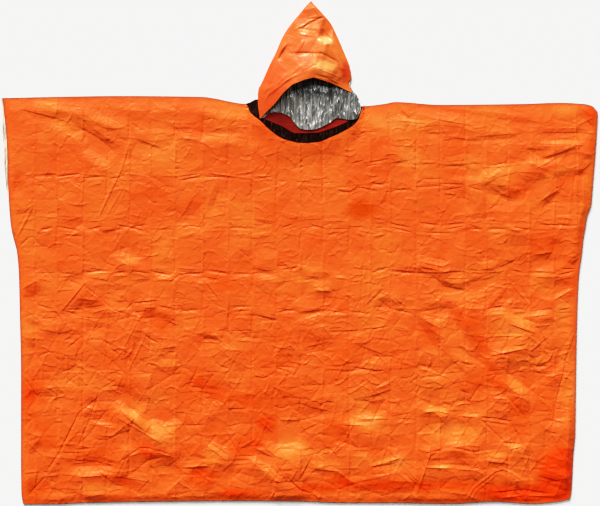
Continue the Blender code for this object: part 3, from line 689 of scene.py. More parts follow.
    # Lower right: a strip along the side, a fan under the double crease, and the arch above the hem.
    (306, -291, 327, -297, 1.6), (327, -298, 368, -311, 0.9), (584, -282, 618, -284, -1.8),
    (400, -272, 440, -276, 0.8), (440, -276, 462, -290, 0.7), (670, -242, 660, -297, -1.4),
    (660, -297, 643, -360, -1.4), (643, -360, 629, -443, -1.0), (636, -418, 660, -424, 1.6),
    (622, -448, 640, -452, -1.4), (316, -330, 335, -324, -0.8), (335, -324, 355, -333, -0.8),
    (386, -328, 412, -322, -0.9), (412, -322, 436, -330, -0.8), (400, -345, 425, -352, -0.8),
    (484, -364, 516, -366, 1.2), (516, -366, 545, -400, 0.9), (522, -362, 556, -404, -0.9),
    (312, -398, 345, -396, 1.6), (345, -396, 372, -402, 1.6), (398, -408, 445, -410, 1.5),
    (452, -411, 490, -414, -1.7), (490, -414, 528, -422, -1.7), (455, -421, 520, -431, -1.1),
    (448, -417, 469, -464, -1.2), (452, -417, 490, -452, -1.3), (490, -452, 514, -475, -1.1),
    (514, -475, 559, -478, -0.9), (528, -426, 552, -471, -1.4), (552, -471, 570, -513, -1.3),
    (536, -430, 560, -470, 0.9), (560, -470, 578, -508, 0.8), (316, -502, 327, -497, -1.1),
    (327, -497, 354, -492, -1.1), (389, -488, 406, -490, -1.5), (406, -490, 434, -499, -1.7),
    (434, -499, 450, -494, -1.4), (327, -497, 316, -534, 1.4), (316, -534, 295, -596, 1.6),
    (320, -536, 379, -538, 1.7), (389, -540, 440, -543, 1.4), (440, -543, 455, -552, 1.0),
    (434, -499, 452, -540, -1.3), (452, -540, 462, -551, -1.1), (420, -613, 434, -589, 1.3),
    (434, -589, 486, -547, 1.6), (486, -547, 507, -540, 1.6), (507, -540, 528, -550, 1.4),
    (528, -550, 556, -568, 1.3), (428, -617, 442, -594, 1.0), (442, -594, 490, -556, 1.1),
    (448, -500, 480, -497, 1.0), (472, -521, 507, -524, 1.7), (507, -524, 530, -530, 1.0),
    (525, -490, 552, -484, 1.3), (552, -484, 566, -495, 1.0), (570, -513, 563, -533, 1.2),
    (563, -533, 556, -554, 1.0), (584, -499, 590, -527, 1.1), (590, -527, 573, -551, 1.0),
    (486, -600, 560, -592, -1.3), (560, -592, 620, -602, -1.3), (600, -560, 660, -575, -1.3),
    (507, -612, 560, -606, 1.5), (560, -606, 632, -609, 1.5),
)]

# Plates of film between creases, turned by degrees and tilted towards the hood, or away where the tilt is
# negative. Their long sides are creases.
Plate = namedtuple("Plate", "x y half_x half_y turn tilt")
PLATES = [Plate(*row) for row in (
    # Broad swells.
    (575, -165, 110, 50, 0, 2.4), (600, 20, 110, 45, 0, -2), (400, 305, 260, 30, 0, 1), (-400, -405, 80, 34, 0, 3),
    (300, -452, 200, 40, 0, 2), (50, -575, 110, 24, 0, -4), (560, -580, 150, 26, 0, -5),
    (-330, -300, 290, 50, 0, -1.5), (-560, -120, 140, 34, 0, -1.4), (650, -600, 60, 20, -10, -6),
    (-20, -505, 60, 34, 0, 3), (-560, 250, 130, 60, -15, 1),
    # Left shoulder and sleeve end.
    (-560, 353, 85, 9, -18, 2), (-490, 331, 46, 13, -30, 3), (-640, 346, 50, 5, -15, -6),
    (-530, 303, 22, 5, -38, -8), (-490, 282, 34, 9, -35, -12), (-485, 314, 30, 5, -15, -9),
    (-580, 375, 60, 6, -10, -7), (-430, 383, 80, 5, 0, -6), (-390, 341, 60, 12, -3, -3), (-380, 303, 60, 6, 0, 5),
    (-295, 311, 18, 4, 5, -12), (-372, 273, 30, 7, -18, -10), (-255, 290, 40, 12, -18, 7),
    (-510, 235, 36, 14, -30, 5), (-650, 245, 42, 6, 100, 6), (-590, 255, 34, 30, 0, -2), (-685, 145, 34, 8, 100, 6),
    (-686, 103, 16, 7, 10, -9), (-716, 172, 22, 8, 85, -8), (-268, 115, 34, 15, 50, -7), (-262, 203, 28, 6, 25, -8),
    (-475, 55, 20, 6, 5, -10), (-545, 61, 18, 6, -20, 7), (-205, 286, 44, 11, -5, 7), (-180, 306, 38, 6, 2, -5),
    (-180, 345, 60, 9, -8, 4), (-418, 222, 20, 12, -30, 5), (-215, 135, 26, 7, 72, -6),
    # Right shoulder and sleeve end.
    (258, 352, 16, 4, -60, -10), (264, 336, 14, 6, -40, 10), (295, 325, 28, 7, 0, 7), (400, 355, 70, 5, -8, -10),
    (500, 340, 70, 8, -10, -6), (395, 332, 45, 12, -25, 6), (480, 310, 110, 6, 0, 4), (490, 289, 48, 7, 3, -9),
    (420, 283, 24, 4, 0, -9), (660, 304, 60, 5, 0, -12), (728, 338, 26, 11, -60, -12), (655, 273, 50, 7, 0, 11),
    (592, 259, 28, 6, 3, -10), (650, 250, 45, 5, 18, -13), (595, 228, 22, 12, -20, 12), (625, 225, 22, 9, 10, 9),
    (612, 197, 12, 4, -30, 10), (668, 232, 32, 9, 15, 7), (672, 198, 36, 7, 5, -11), (712, 212, 20, 5, 40, -13),
    (722, 238, 12, 6, 0, -11), (475, 178, 26, 5, 40, -8), (520, 197, 30, 4, 14, -6), (415, 185, 44, 7, -3, 7),
    (525, 178, 40, 9, 5, 6), (512, 152, 34, 13, -12, -12), (565, 158, 36, 7, 20, -5), (520, 136, 16, 5, -20, -11),
    (625, 138, 30, 8, 42, -13), (418, 140, 32, 10, -60, -7), (300, 115, 24, 18, 0, -2), (555, 30, 32, 14, 0, -5),
    (530, 65, 14, 5, -25, 10), (420, 59, 26, 5, 10, -9), (465, 93, 40, 7, 5, -6), (503, 75, 18, 10, -30, -5),
    (640, 28, 12, 7, 0, -8), (108, 255, 24, 6, 100, 6), (250, 250, 24, 12, -60, 4),
    # Middle of the panel, left.
    (-432, -15, 24, 12, -20, 9), (-668, -97, 26, 13, 30, -7), (-565, -60, 20, 8, 10, -9),
    (-527, -127, 24, 11, -10, -10), (-565, -157, 26, 6, 3, 9), (-492, -156, 26, 7, 0, -9),
    (-505, -181, 30, 7, -5, -9), (-376, -152, 14, 13, 0, -10), (-447, -118, 16, 4, 0, -10),
    (-330, -60, 22, 7, 0, 9), (-328, -20, 16, 7, 0, -5), (-243, -70, 14, 6, 10, 9), (-330, -165, 24, 7, -28, -9),
    (-328, -241, 22, 7, 10, -13), (-327, -272, 20, 6, 0, 10), (-328, -294, 20, 5, -5, -10),
    (-250, -213, 28, 8, 18, -8), (-222, -215, 16, 8, -25, -9), (-615, -172, 26, 8, 3, 7),
    (-605, -199, 42, 7, 3, -8), (-664, -175, 22, 6, -32, -8), (-672, -230, 22, 8, -30, -7),
    (-420, -235, 60, 9, 62, -6), (-390, -262, 45, 8, 75, -4), (-500, -57, 30, 5, -3, 7), (-447, -87, 14, 7, 0, -7),
    (-600, -262, 20, 16, 0, -4), (-430, -65, 20, 14, 10, 3),
    # Middle of the panel, centre.
    (-135, -15, 16, 22, 5, -4), (-88, -43, 25, 8, -5, -10), (-82, -64, 25, 8, -5, 9), (2, -35, 14, 4, -10, 9),
    (50, -42, 30, 7, 3, 5), (48, -57, 28, 7, 0, -7), (95, -55, 14, 6, -15, 9), (62, -82, 22, 11, 5, 5),
    (58, -105, 24, 10, 5, -7), (225, -125, 16, 11, -40, -8), (28, -146, 28, 6, 8, -13), (38, -160, 30, 6, 20, 10),
    (-82, -158, 26, 6, -12, -11), (-80, -173, 22, 5, 0, 7), (52, -184, 26, 6, 3, 10), (45, -232, 32, 13, 15, -7),
    (135, -245, 22, 15, 15, -6), (135, -207, 22, 6, 25, 9), (178, -242, 30, 7, -28, -9), (-22, -245, 18, 7, 80, -8),
    (-38, -276, 14, 6, 0, -8), (75, -272, 12, 4, 0, -9), (-190, -228, 20, 6, -40, 8), (195, -275, 30, 7, -3, 4),
    (285, -42, 30, 7, -3, -10), (-208, -216, 12, 5, -20, -9),
    # Middle of the panel, right.
    (335, -27, 34, 13, -15, 9), (345, -53, 26, 5, 0, -10), (352, -68, 22, 7, -40, -7), (385, -84, 26, 6, -15, -16),
    (438, -71, 36, 6, 18, -13), (400, -67, 25, 7, 0, 7), (518, -24, 26, 5, 22, -12), (470, -41, 16, 4, 0, -10),
    (470, -22, 18, 6, -15, 8), (608, -12, 20, 11, 10, -11), (625, -35, 32, 11, 10, 7), (565, -20, 20, 20, 0, -4),
    (688, -17, 16, 8, 40, -12), (655, -102, 32, 7, 25, 12), (645, -72, 46, 14, 5, -6), (358, -110, 20, 10, 0, 8),
    (345, -135, 25, 8, 5, -6), (325, -165, 22, 6, -20, 10), (352, -165, 18, 8, 40, 7),
    (328, -202, 42, 11, -58, -10), (398, -165, 42, 11, -65, -9), (440, -200, 48, 11, -75, -6),
    (430, -115, 28, 24, 0, 4), (492, -120, 24, 6, 40, -8), (520, -122, 18, 5, 30, 9), (498, -148, 26, 7, 3, 8),
    (557, -173, 34, 10, -25, 15), (587, -152, 30, 6, 5, 9), (607, -175, 22, 6, 20, -11), (525, -228, 46, 18, 8, 8),
    (560, -262, 36, 16, 35, -5), (478, -285, 28, 8, -35, -10), (462, -252, 16, 9, 0, -8),
    (420, -265, 38, 9, -30, 9), (318, -293, 16, 5, -20, 10), (510, -284, 14, 4, 0, -9), (605, -267, 20, 9, 5, 8),
    (652, -240, 14, 7, 30, -9), (640, -290, 25, 7, 35, 8),
    # Crumpled stretch, left.
    (-668, -342, 34, 10, -55, -14), (-440, -325, 24, 8, 60, -9), (-418, -350, 30, 8, -32, -13),
    (-385, -365, 22, 9, -10, -10), (-345, -355, 25, 8, 0, -6), (-410, -408, 34, 8, -38, 15),
    (-345, -440, 36, 22, 5, 8), (-400, -462, 55, 12, -28, -5), (-470, -375, 42, 12, 10, 5),
    (-500, -405, 24, 9, 12, -9), (-485, -430, 34, 6, -5, 11), (-527, -371, 20, 6, 28, -15),
    (-525, -387, 16, 4, 5, 9), (-322, -400, 16, 8, -20, -11), (-355, -408, 20, 6, 0, -7),
    (-535, -520, 28, 5, 10, -15), (-488, -530, 25, 4, -10, -12), (-515, -545, 42, 12, 3, 13),
    (-500, -590, 55, 16, 0, 4), (-425, -575, 42, 13, -28, -9), (-405, -555, 42, 8, -15, 8),
    (-345, -522, 34, 14, -15, -6), (-345, -548, 34, 7, 0, 8), (-320, -575, 28, 15, 25, 7),
    (-665, -580, 28, 18, 30, -9), (-617, -567, 18, 6, 20, -8), (-600, -588, 18, 5, 20, -11),
    (-600, -608, 25, 9, 0, 7), (-668, -462, 22, 8, 30, 7), (-662, -485, 26, 9, 40, -7), (-250, -525, 42, 8, 5, 12),
    (-215, -495, 33, 22, -25, 8), (-240, -330, 22, 14, -40, -7), (-645, -505, 20, 12, 60, 4),
    (-545, -335, 30, 18, 30, 3),
    # Crumpled stretch, centre.
    (-130, -372, 66, 18, 0, -4), (-145, -347, 26, 5, 0, 6), (-82, -437, 30, 12, -45, -10),
    (-22, -421, 24, 6, 5, -13), (48, -392, 26, 9, -8, -8), (110, -395, 28, 7, 5, -7), (190, -352, 36, 8, 20, -13),
    (175, -368, 16, 7, 15, -10), (50, -410, 32, 6, 5, 7), (165, -418, 56, 13, 6, 11), (180, -440, 35, 11, -5, 6),
    (-35, -500, 34, 38, 0, 6), (-78, -480, 26, 16, -10, 6), (-130, -478, 22, 11, 20, -9),
    (-88, -500, 25, 5, -18, -13), (-75, -545, 46, 8, -38, 13), (-140, -562, 25, 7, -10, 8),
    (-168, -495, 32, 10, 85, -5), (68, -549, 40, 9, -17, -13), (125, -577, 28, 8, -40, -10),
    (163, -588, 24, 8, 5, -15), (70, -583, 42, 17, -10, -7), (65, -528, 36, 8, -3, 6), (140, -564, 26, 7, 10, 8),
    (135, -553, 24, 4, 10, -9), (215, -520, 42, 7, 20, 11), (180, -501, 28, 7, 10, 8), (215, -546, 38, 9, 5, 10),
    (235, -580, 52, 16, 0, -7), (103, -478, 10, 7, -30, 10), (88, -494, 8, 6, 45, 8), (-50, -591, 20, 6, -15, -11),
    (-190, -612, 35, 8, 0, -11), (0, -612, 52, 8, 3, -10), (-15, -568, 16, 6, -48, -13),
    (-250, -543, 20, 7, 0, -13), (-222, -556, 20, 5, 0, -15), (-225, -588, 30, 16, 0, -7),
    (-232, -385, 18, 20, -20, 5), (60, -345, 60, 14, 0, 3),
    # Crumpled stretch, right.
    (338, -392, 26, 9, -12, 14), (362, -402, 12, 6, 10, 13), (425, -408, 26, 6, 0, 13), (318, -406, 14, 5, 10, -13),
    (348, -425, 30, 13, -15, -6), (432, -345, 20, 6, -20, 4), (410, -460, 32, 25, 0, 7), (345, -470, 32, 22, 0, 5),
    (665, -372, 26, 66, 0, 4), (335, -332, 27, 8, -3, -11), (330, -306, 34, 11, -25, 8),
    (410, -338, 26, 7, -30, -7), (495, -333, 24, 8, -40, -11), (545, -336, 40, 13, -38, 13),
    (500, -361, 18, 6, 0, 11), (548, -388, 26, 11, -20, -6), (418, -372, 16, 6, -30, -7), (632, -308, 22, 9, 35, 9),
    (645, -425, 22, 8, 25, 10), (648, -480, 35, 11, -50, -10), (668, -530, 30, 11, -75, -10),
    (543, -483, 17, 9, 10, 10), (478, -487, 28, 6, 5, -12), (480, -507, 34, 11, -3, 10),
    (532, -514, 24, 6, -8, -10), (500, -528, 34, 6, -5, -13), (530, -555, 35, 8, -25, 10),
    (348, -528, 32, 9, 0, 11), (345, -566, 30, 8, 0, -8), (418, -562, 32, 9, 3, -10), (415, -538, 28, 7, 0, 9),
    (420, -590, 30, 10, 10, 6), (585, -592, 50, 10, -12, -15), (652, -572, 42, 17, -20, -20),
    (668, -530, 16, 12, -30, -12), (530, -572, 22, 8, 0, -8), (478, -602, 35, 6, 3, -13), (555, -611, 42, 6, 3, 14),
    (640, -612, 40, 6, 8, -15), (620, -545, 30, 10, -20, 5), (590, -505, 22, 12, 0, -4), (600, -330, 24, 18, 20, 3),
    (230, -490, 26, 14, -15, 3),
)]

# Ovals where the film's colour is deeper, or paler where the shift is positive: partly uneven hue, partly painted
# shade where deeper and painted light where paler. And one stain.
Tint = namedtuple("Tint", "x y half_x half_y turn shift")
TINTS_WITH_PAINTED_LIGHT_AND_SHADE = [Tint(*row) for row in (
    # Above the middle.
    (728, 342, 16, 30, 0, -0.42), (550, 150, 48, 14, 0, -0.25), (612, 18, 56, 28, 0, -0.2),
    (-262, 125, 20, 26, -30, -0.18), (500, 203, 80, 18, 8, 0.3), (640, 195, 50, 14, 15, 0.2),
    (-520, 250, 60, 18, -45, 0.1), (-250, 279, 70, 14, 0, 0.1), (270, 325, 110, 24, 0, 0.3),
    (275, 245, 50, 30, -55, 0.25), (169, 44, 16, 16, 0, 0.15), (-560, 345, 80, 16, -20, 0.12),
    (-640, 250, 16, 60, 0, 0.1), (408, 225, 40, 24, 0, 0.28), (625, 350, 60, 24, 0, 0.2),
    (722, 190, 14, 50, 0, 0.2), (500, 100, 50, 24, 0, -0.22),
    # Below the middle.
    (-669, -94, 26, 20, 30, -0.25), (-525, -125, 50, 24, 0, -0.15), (-381, -154, 16, 15, 0, -0.15),
    (412, -162, 42, 24, -30, -0.32), (455, -240, 50, 20, -62, -0.25), (325, -206, 24, 34, 0, -0.2),
    (-425, -19, 28, 18, 0, 0.18), (518, -176, 50, 40, 0, 0.4), (625, -215, 60, 70, 0, 0.13),
    (672, -345, 28, 110, 0, 0.25), (658, -150, 30, 28, 0, 0.25), (560, -275, 50, 20, 0, 0.18),
    (220, -150, 26, 26, 0, -0.18),
    # Crumpled stretch.
    (-190, -350, 95, 24, -20, -0.2), (-412, -342, 50, 22, 0, -0.2), (-662, -337, 34, 30, -40, -0.2),
    (486, -308, 46, 20, -48, -0.22), (415, -335, 50, 30, 0, -0.1), (548, -390, 30, 12, -45, -0.08),
    (640, -545, 50, 70, 0, -0.5), (565, -600, 130, 24, 0, -0.42), (240, -582, 230, 16, 0, -0.4),
    (85, -560, 50, 14, -15, -0.32), (30, -592, 60, 14, 0, -0.25), (-244, -562, 40, 27, 0, -0.4),
    (-362, -500, 46, 24, -25, -0.4), (-137, -481, 50, 34, 0, -0.33), (-81, -425, 26, 20, 0, -0.25),
    (-425, -575, 46, 15, -20, -0.25), (-655, -585, 32, 22, 0, -0.2), (-150, -600, 60, 12, 0, -0.3),
    (550, -342, 50, 16, -50, 0.32), (480, -505, 34, 10, 0, 0.25), (540, -488, 18, 9, 0, 0.25),
    (350, -536, 32, 7, 0, 0.35), (-428, -402, 36, 15, -35, 0.22), (-380, -436, 44, 20, -28, 0.22),
    (-338, -456, 30, 22, 0, 0.12), (-531, -550, 28, 16, 0, 0.2), (-222, -498, 24, 34, 0, 0.3),
    (-22, -500, 46, 34, 0, 0.28), (-75, -548, 28, 20, -30, 0.25), (169, -420, 46, 24, 0, 0.35),
    (-500, -588, 60, 16, 0, 0.38), (-342, -405, 26, 26, 0, -0.25), (158, -520, 28, 24, 0, 0.28),
    (-280, -525, 24, 24, 0, 0.25), (-342, -525, 22, 22, 0, 0.15), (228, -525, 50, 20, 0, 0.45),
    (385, -448, 68, 34, 0, 0.4), (337, -394, 36, 14, 0, 0.25),
)]
TINT_REACH = 1.4                # an oval's soft edge ends here, in shares of its half sizes
STAIN = Patch(153, 108, 42, 32, (0.62, 0.051, 0.0016))

# Bands of short ridges where the film was folded across, drawn by chance from cell to cell.
Band = namedtuple("Band", "y spread rise x0 x1")
BANDS = [
    Band(310, 7, 0.6, -480, 740), Band(280, 14, 0.5, -450, 740), Band(189, 6, -1.3, -735, -40),
    Band(222, 7, -1.0, 90, 520), Band(166, 9, -1.2, -20, 470), Band(86, 8, 0.6, -700, 700),
    Band(64, 7, -1.3, -700, 715), Band(47, 7, 0.6, -700, 710), Band(-46, 8, -1.5, -700, 700),
    Band(-64, 8, 0.7, -690, 690), Band(-118, 10, 0.4, -690, 690), Band(-143, 8, -1.3, -690, 690),
    Band(-165, 9, 0.6, -690, 690), Band(-204, 12, 0.5, -690, 690), Band(-250, 14, 0.4, -690, 690),
    Band(-294, 12, -0.9, -690, 690), Band(-346, 16, 0.4, -690, 690), Band(-404, 16, -0.7, -690, 690),
    Band(-490, 14, 0.6, -690, 690), Band(-545, 18, -0.7, -690, 690), Band(-596, 12, 0.5, -690, 690),
]
RIDGES_IN_A_CELL, RIDGES_LEFT_OUT, RIDGE_TILT, RIDGE_SHORTER = 2, 0.25, 5.0, 18
UPRIGHT_SHIFT = 1.5

# The film grows more crumpled from the middle of the panel to the hem. Of two values that belong together, the
# first is for the calm film and the second for the crumpled film.
CRUMPLE_STARTS_Y, CRUMPLE_GROWS_OVER = 60.0, 500.0
CRUMPLED_BELOW = -230.0
CREASED_BY_HAND_BELOW = -395.0  # no small arches are added here
PACK_RISE, PACK_RISE_AT_HEM = 1.3, 2.0
PACK_RISE_STARTS_Y, PACK_RISE_GROWS_OVER = -640.0, 700.0
COARSE_PITCH, FINE_PITCH = (86.0, 74.0), (36.0, 29.0)
CALM_RISES, CRUMPLED_RISES = (1.2, 0.7), (1.8, 1.3)     # of the coarse and of the fine facets
NET_CREASE, NET_CREASE_CRUMPLED = 0.5, 1.1
ARCH_GAIN_CRUMPLED = 1.6
GRAIN, GRAIN_CRUMPLED = 0.08, 0.14

FOLD_SHARE = 0.5                # the creases beside them carry the rest of the large folds' height
LINE_LIT, LINE_SHADED = 6.4, 2.8        # widths of a thin crease's two flanks
LINE_END_FADE, LINE_MARGIN = 7.0, 2.0
LINE_END_DEPTH, LINE_BELLY = 0.4, 2.4   # share of its depth at a crease's ends, and how fast it deepens inwards
LIT_SHARE, SHADED_SHARE, SHADED_SHARE_AT_HEM = 0.85, 0.93, 0.45     # of the tilt stated for a plate
PLATE_WAY_BACK, WAY_BACK_A_DEGREE = 2.5, 0.25           # in half widths, and more for each degree of tilt
PLATE_END, PLATE_END_FADE = 1.5, 0.9    # in half lengths
LEAST_FACING = 0.55             # a plate edge-on to the light isn't made steeper than this allows
MEAN_RELIEF = 3.0
SIDE_FADE, SHOULDER_FADE, HEM_FADE, LEAST_AT_HEM = 20.0, 42.0, 14.0, 0.1
NECK_LIFT, NECK_LIFT_REACH, NECK_LIFT_END_FADE = 5.0, 60.0, 30.0
NECK_LIFT_TOP_Y, NECK_LIFT_TOP_FADE = 375.0, 60.0
EDGE_STEP, EDGE_STEP_WIDTH = 0.25, 8.0
RIM_WIDTH = 6.0


def crumple_share(y):
    """0 where the film is calm, 1 where it is wholly crumpled."""
    return smooth((CRUMPLE_STARTS_Y - y) / CRUMPLE_GROWS_OVER)


def from_sides(x, y):
    return np.minimum(x - read(SIDES, "y", "front_left", y), read(SIDES, "y", "right", y) - x)


def from_shoulder(x, y):
    return read(SHOULDERS, "x", "y", x) - y


def pack_relief(x, y):
    """Flat facets between the corners of the packing cells, each cell being cut by one diagonal."""
    dice = random.Random(7)
    rises = np.zeros((len(PACK_ROWS), len(PACK_COLUMNS)))
    for row, at in enumerate(PACK_ROWS):
        rise = mix(PACK_RISE_AT_HEM, PACK_RISE, smooth((at - PACK_RISE_STARTS_Y) / PACK_RISE_GROWS_OVER))
        for column in range(len(PACK_COLUMNS)):
            rises[row, column] = rise * dice.random()
    folds_x, folds_y = np.array(PACK_COLUMNS, float), np.array(PACK_ROWS, float)
    column, row = np.searchsorted(folds_x, x) - 1, np.searchsorted(folds_y, y) - 1
    u = (x - folds_x[column]) / (folds_x[column + 1] - folds_x[column])
    v = (y - folds_y[row]) / (folds_y[row + 1] - folds_y[row])
    low, high = rises[row, column], rises[row + 1, column + 1]
    right, left = rises[row, column + 1], rises[row + 1, column]
    return np.where(u > v, low + u * (right - low) + v * (high - right), low + v * (left - low) + u * (high - left))


def fold_relief(x, y):
    """Sum of the large folds, each a soft ridge or trough that dies out past its ends."""
    total = np.zeros_like(x)
    for fold in FOLDS:
        run_x, run_y = fold.x1 - fold.x0, fold.y1 - fold.y0
        t = np.clip(((x - fold.x0) * run_x + (y - fold.y0) * run_y) / (run_x ** 2 + run_y ** 2), 0.0, 1.0)
        distance = np.hypot(x - fold.x0 - t * run_x, y - fold.y0 - t * run_y)
        total += FOLD_SHARE * fold.height * smooth(1.0 - distance / fold.half_width)
    return total


def along_and_side(x, y, line):
    """Share of the way along a line, distance past its ends, and distance to its hood side, at many points."""
    run_x, run_y = line.x1 - line.x0, line.y1 - line.y0
    length = math.hypot(run_x, run_y)
    share = ((x - line.x0) * run_x + (y - line.y0) * run_y) / length ** 2
    side = (run_x * (y - line.y0) - run_y * (x - line.x0)) / math.copysign(length, run_x)
    return share, np.maximum(0.0, np.maximum(-share, share - 1.0)) * length, side


def flank_widths(line):
    """Widths of a thin crease's flanks on its hood side and on its hem side: the shaded one is the steeper."""
    return (LINE_LIT, LINE_SHADED) if line.height > 0 else (LINE_SHADED, LINE_LIT)


def add_line(total, x, y, line, above, below):
    """Adds one thin crease, deepest at its middle."""
    reach = max(above, below) + LINE_MARGIN
    near = np.flatnonzero(
        (x > min(line.x0, line.x1) - reach) & (x < max(line.x0, line.x1) + reach)
        & (y > min(line.y0, line.y1) - reach) & (y < max(line.y0, line.y1) + reach)
    )
    share, past_end, side = along_and_side(x[near], y[near], line)
    width = np.where(side > 0, above, below)
    ends = np.clip(1.0 - past_end / LINE_END_FADE, 0.0, 1.0)
    ends *= np.clip(LINE_END_DEPTH + LINE_BELLY * share * (1.0 - share), 0.0, 1.0)
    total[near] += line.height * np.clip(1.0 - np.abs(side) / width, 0.0, 1.0) * ends


def turned_shares(x, y, oval):
    """Places of many points along an oval's two turned axes, in shares of its half sizes."""
    turn = math.radians(oval.turn)
    along_it = ((x - oval.x) * math.cos(turn) + (y - oval.y) * math.sin(turn)) / oval.half_x
    across_it = ((y - oval.y) * math.cos(turn) - (x - oval.x) * math.sin(turn)) / oval.half_y
    return along_it, across_it


def plate_relief(plates, x, y):
    """Sum of the plates: flat within their long sides, and back to the panel in a long slope past them. Plates
    that face away from the light get a share of their own."""
    total = np.zeros_like(x)
    for plate in plates:
        u, v = turned_shares(x, y, plate)
        way_back = PLATE_WAY_BACK + WAY_BACK_A_DEGREE * abs(plate.tilt)
        slope = np.where(np.abs(v) < 1.0, v, np.sign(v) * np.clip(1.0 - (np.abs(v) - 1.0) / way_back, 0.0, 1.0))
        window = np.clip((PLATE_END - np.abs(u)) / PLATE_END_FADE, 0.0, 1.0)
        facing = math.cos(math.radians(plate.turn) - math.radians(KEY_AZIMUTH))
        steepness = math.tan(math.radians(plate.tilt)) / math.copysign(max(LEAST_FACING, abs(facing)), facing)
        shaded_share = SHADED_SHARE if plate.y > CRUMPLED_BELOW else SHADED_SHARE_AT_HEM
        steepness *= LIT_SHARE if plate.tilt > 0 else shaded_share
        total -= steepness * plate.half_y * slope * window
    return total


def tint_and_painted_light_shift(x, y):
    """Sum of the ovals of deeper and paler colour, partly painted shade and painted light, which have soft edges.
    """
    total = np.zeros_like(x)
    for tint in TINTS_WITH_PAINTED_LIGHT_AND_SHADE:
        total += tint.shift * smooth(TINT_REACH - np.hypot(*turned_shares(x, y, tint)))
    return total


def rim_painted_shade(x, y):
    """1 on the folded side edges and shoulder fold, where a dark edge of painted shade lies, and 0 a little inside
    them.
    """
    top = np.where(in_neck(x), RIM_WIDTH, from_shoulder(x, y))
    return np.clip(1.0 - np.minimum(from_sides(x, y), top) / RIM_WIDTH, 0.0, 1.0)


def band_lines():
    """Short thin creases from one upright fold to the next, along every band."""
    dice = random.Random(11)
    for band in BANDS:
        for start, end in zip(PACK_COLUMNS, PACK_COLUMNS[1:]):
            if start < band.x0 or end > band.x1:
                continue
            for _ in range(RIDGES_IN_A_CELL):
                if dice.random() < RIDGES_LEFT_OUT:
                    continue
                y = band.y + dice.uniform(-band.spread, band.spread)
                tilt = dice.uniform(-RIDGE_TILT, RIDGE_TILT)
                x0, x1 = start + dice.uniform(0, RIDGE_SHORTER), end - dice.uniform(0, RIDGE_SHORTER)
                height = band.rise * dice.uniform(0.4, 1.1) * dice.choice((1, 1, 1, -0.6))
                yield Line(x0, y - tilt, x1, y + tilt, height)


def upright_lines():
    """The upright folds of the pack, a little out of line from cell to cell."""
    dice = random.Random(23)
    for x in PACK_COLUMNS[1:-1]:
        for low, high in zip(PACK_ROWS, PACK_ROWS[1:]):
            x0, x1 = [x + dice.uniform(-UPRIGHT_SHIFT, UPRIGHT_SHIFT) for _ in range(2)]
            yield Line(x0, high, x1, low, dice.uniform(0.3, 1.5) * dice.choice((1, -1)))


def arch_lines():
    """Small arches and hooks of fine creases inside the packing cells."""
    dice = random.Random(41)
    for left, right in zip(PACK_COLUMNS[1:], PACK_COLUMNS[2:-1]):
        for low, high in zip(PACK_ROWS, PACK_ROWS[1:]):
            for _ in range(dice.choice((1, 2, 3))):
                x, y = dice.uniform(left, right), dice.uniform(low, high)
                heading, bend = dice.uniform(-0.9, 0.9), dice.choice((-1, 1)) * dice.uniform(0.2, 0.6)
                height = dice.uniform(0.3, 0.8) * dice.choice((1, 1, -1))
                for _ in range(3):
                    step = dice.uniform(8.0, 15.0)
                    next_x, next_y = x + step * math.cos(heading), y + step * math.sin(heading)
                    if y > CREASED_BY_HAND_BELOW:
                        gain = ARCH_GAIN_CRUMPLED if y < CRUMPLED_BELOW else 1.0
                        yield Line(x, y, next_x, next_y, height * gain)
                    x, y, heading = next_x, next_y, heading + bend


def net_lines(net):
    """Fine creases along the edges of a net of facets."""
    dice = random.Random(31)
    for start, end in net.edges:
        (x0, y0), (x1, y1) = net.corners[start], net.corners[end]
        height = mix(NET_CREASE, NET_CREASE_CRUMPLED, float(crumple_share(y0))) * dice.uniform(-1, 1)
        if abs(x0) < HALF_WIDTH and abs(y0) < HALF_LENGTH:
            yield Line(x0, y0, x1, y1, height)


def keep_apart(kept, more, gap):
    """The kept points, and after them each of `more` that lies at least `gap` from every point before it."""
    taken, result = {}, []
    for index, (x, y) in enumerate(kept + more):
        column, row = int(x // gap), int(y // gap)
        if index >= len(kept):
            cells = [taken.get((i, j), ()) for i in range(column - 1, column + 2) for j in range(row - 1, row + 2)]
            if any((x - px) ** 2 + (y - py) ** 2 < gap * gap for cell in cells for px, py in cell):
                continue
        taken.setdefault((column, row), []).append((x, y))
        result.append((x, y))
    return result


def on_line(x0, y0, x1, y1, step):
    """Points at about this step along a line, with its two ends."""
    count = max(2, round(math.hypot(x1 - x0, y1 - y0) / step) + 1)
    shares = np.linspace(0.0, 1.0, count)
    return list(zip(mix(x0, x1, shares), mix(y0, y1, shares)))


RIM_COLUMNS, RIM_ROWS = 300, 200
CREASE_STEP, FLANK_STEP, PLATE_STEP, FACET_STEP = 3.4, 4.4, 4.0, 5.0
POINT_GAP, FILL_GAP, FILL_PITCH, FILL_SCATTER, FILL_HEIGHT = 2.3, 4.0, 6.6, 0.3, 1030
PANEL_TOP_Y = 400.0


def front_rim():
    """Points round the front panel: along the hem, up the right side, back along the top and down the left."""
    along_x, along_y = np.linspace(0.0, 1.0, RIM_COLUMNS + 1), np.linspace(0.0, 1.0, RIM_ROWS + 1)
    across = np.concatenate([along_x, np.ones(RIM_ROWS), along_x[-2::-1], np.zeros(RIM_ROWS - 1)])
    up = np.concatenate([np.zeros(RIM_COLUMNS + 1), along_y[1:], np.ones(RIM_COLUMNS), along_y[-2:0:-1]])
    x, y = panel_xy(mix(-HALF_WIDTH, HALF_WIDTH, across), up, FRONT_NECK, "front_left")
    return list(zip(x, y))


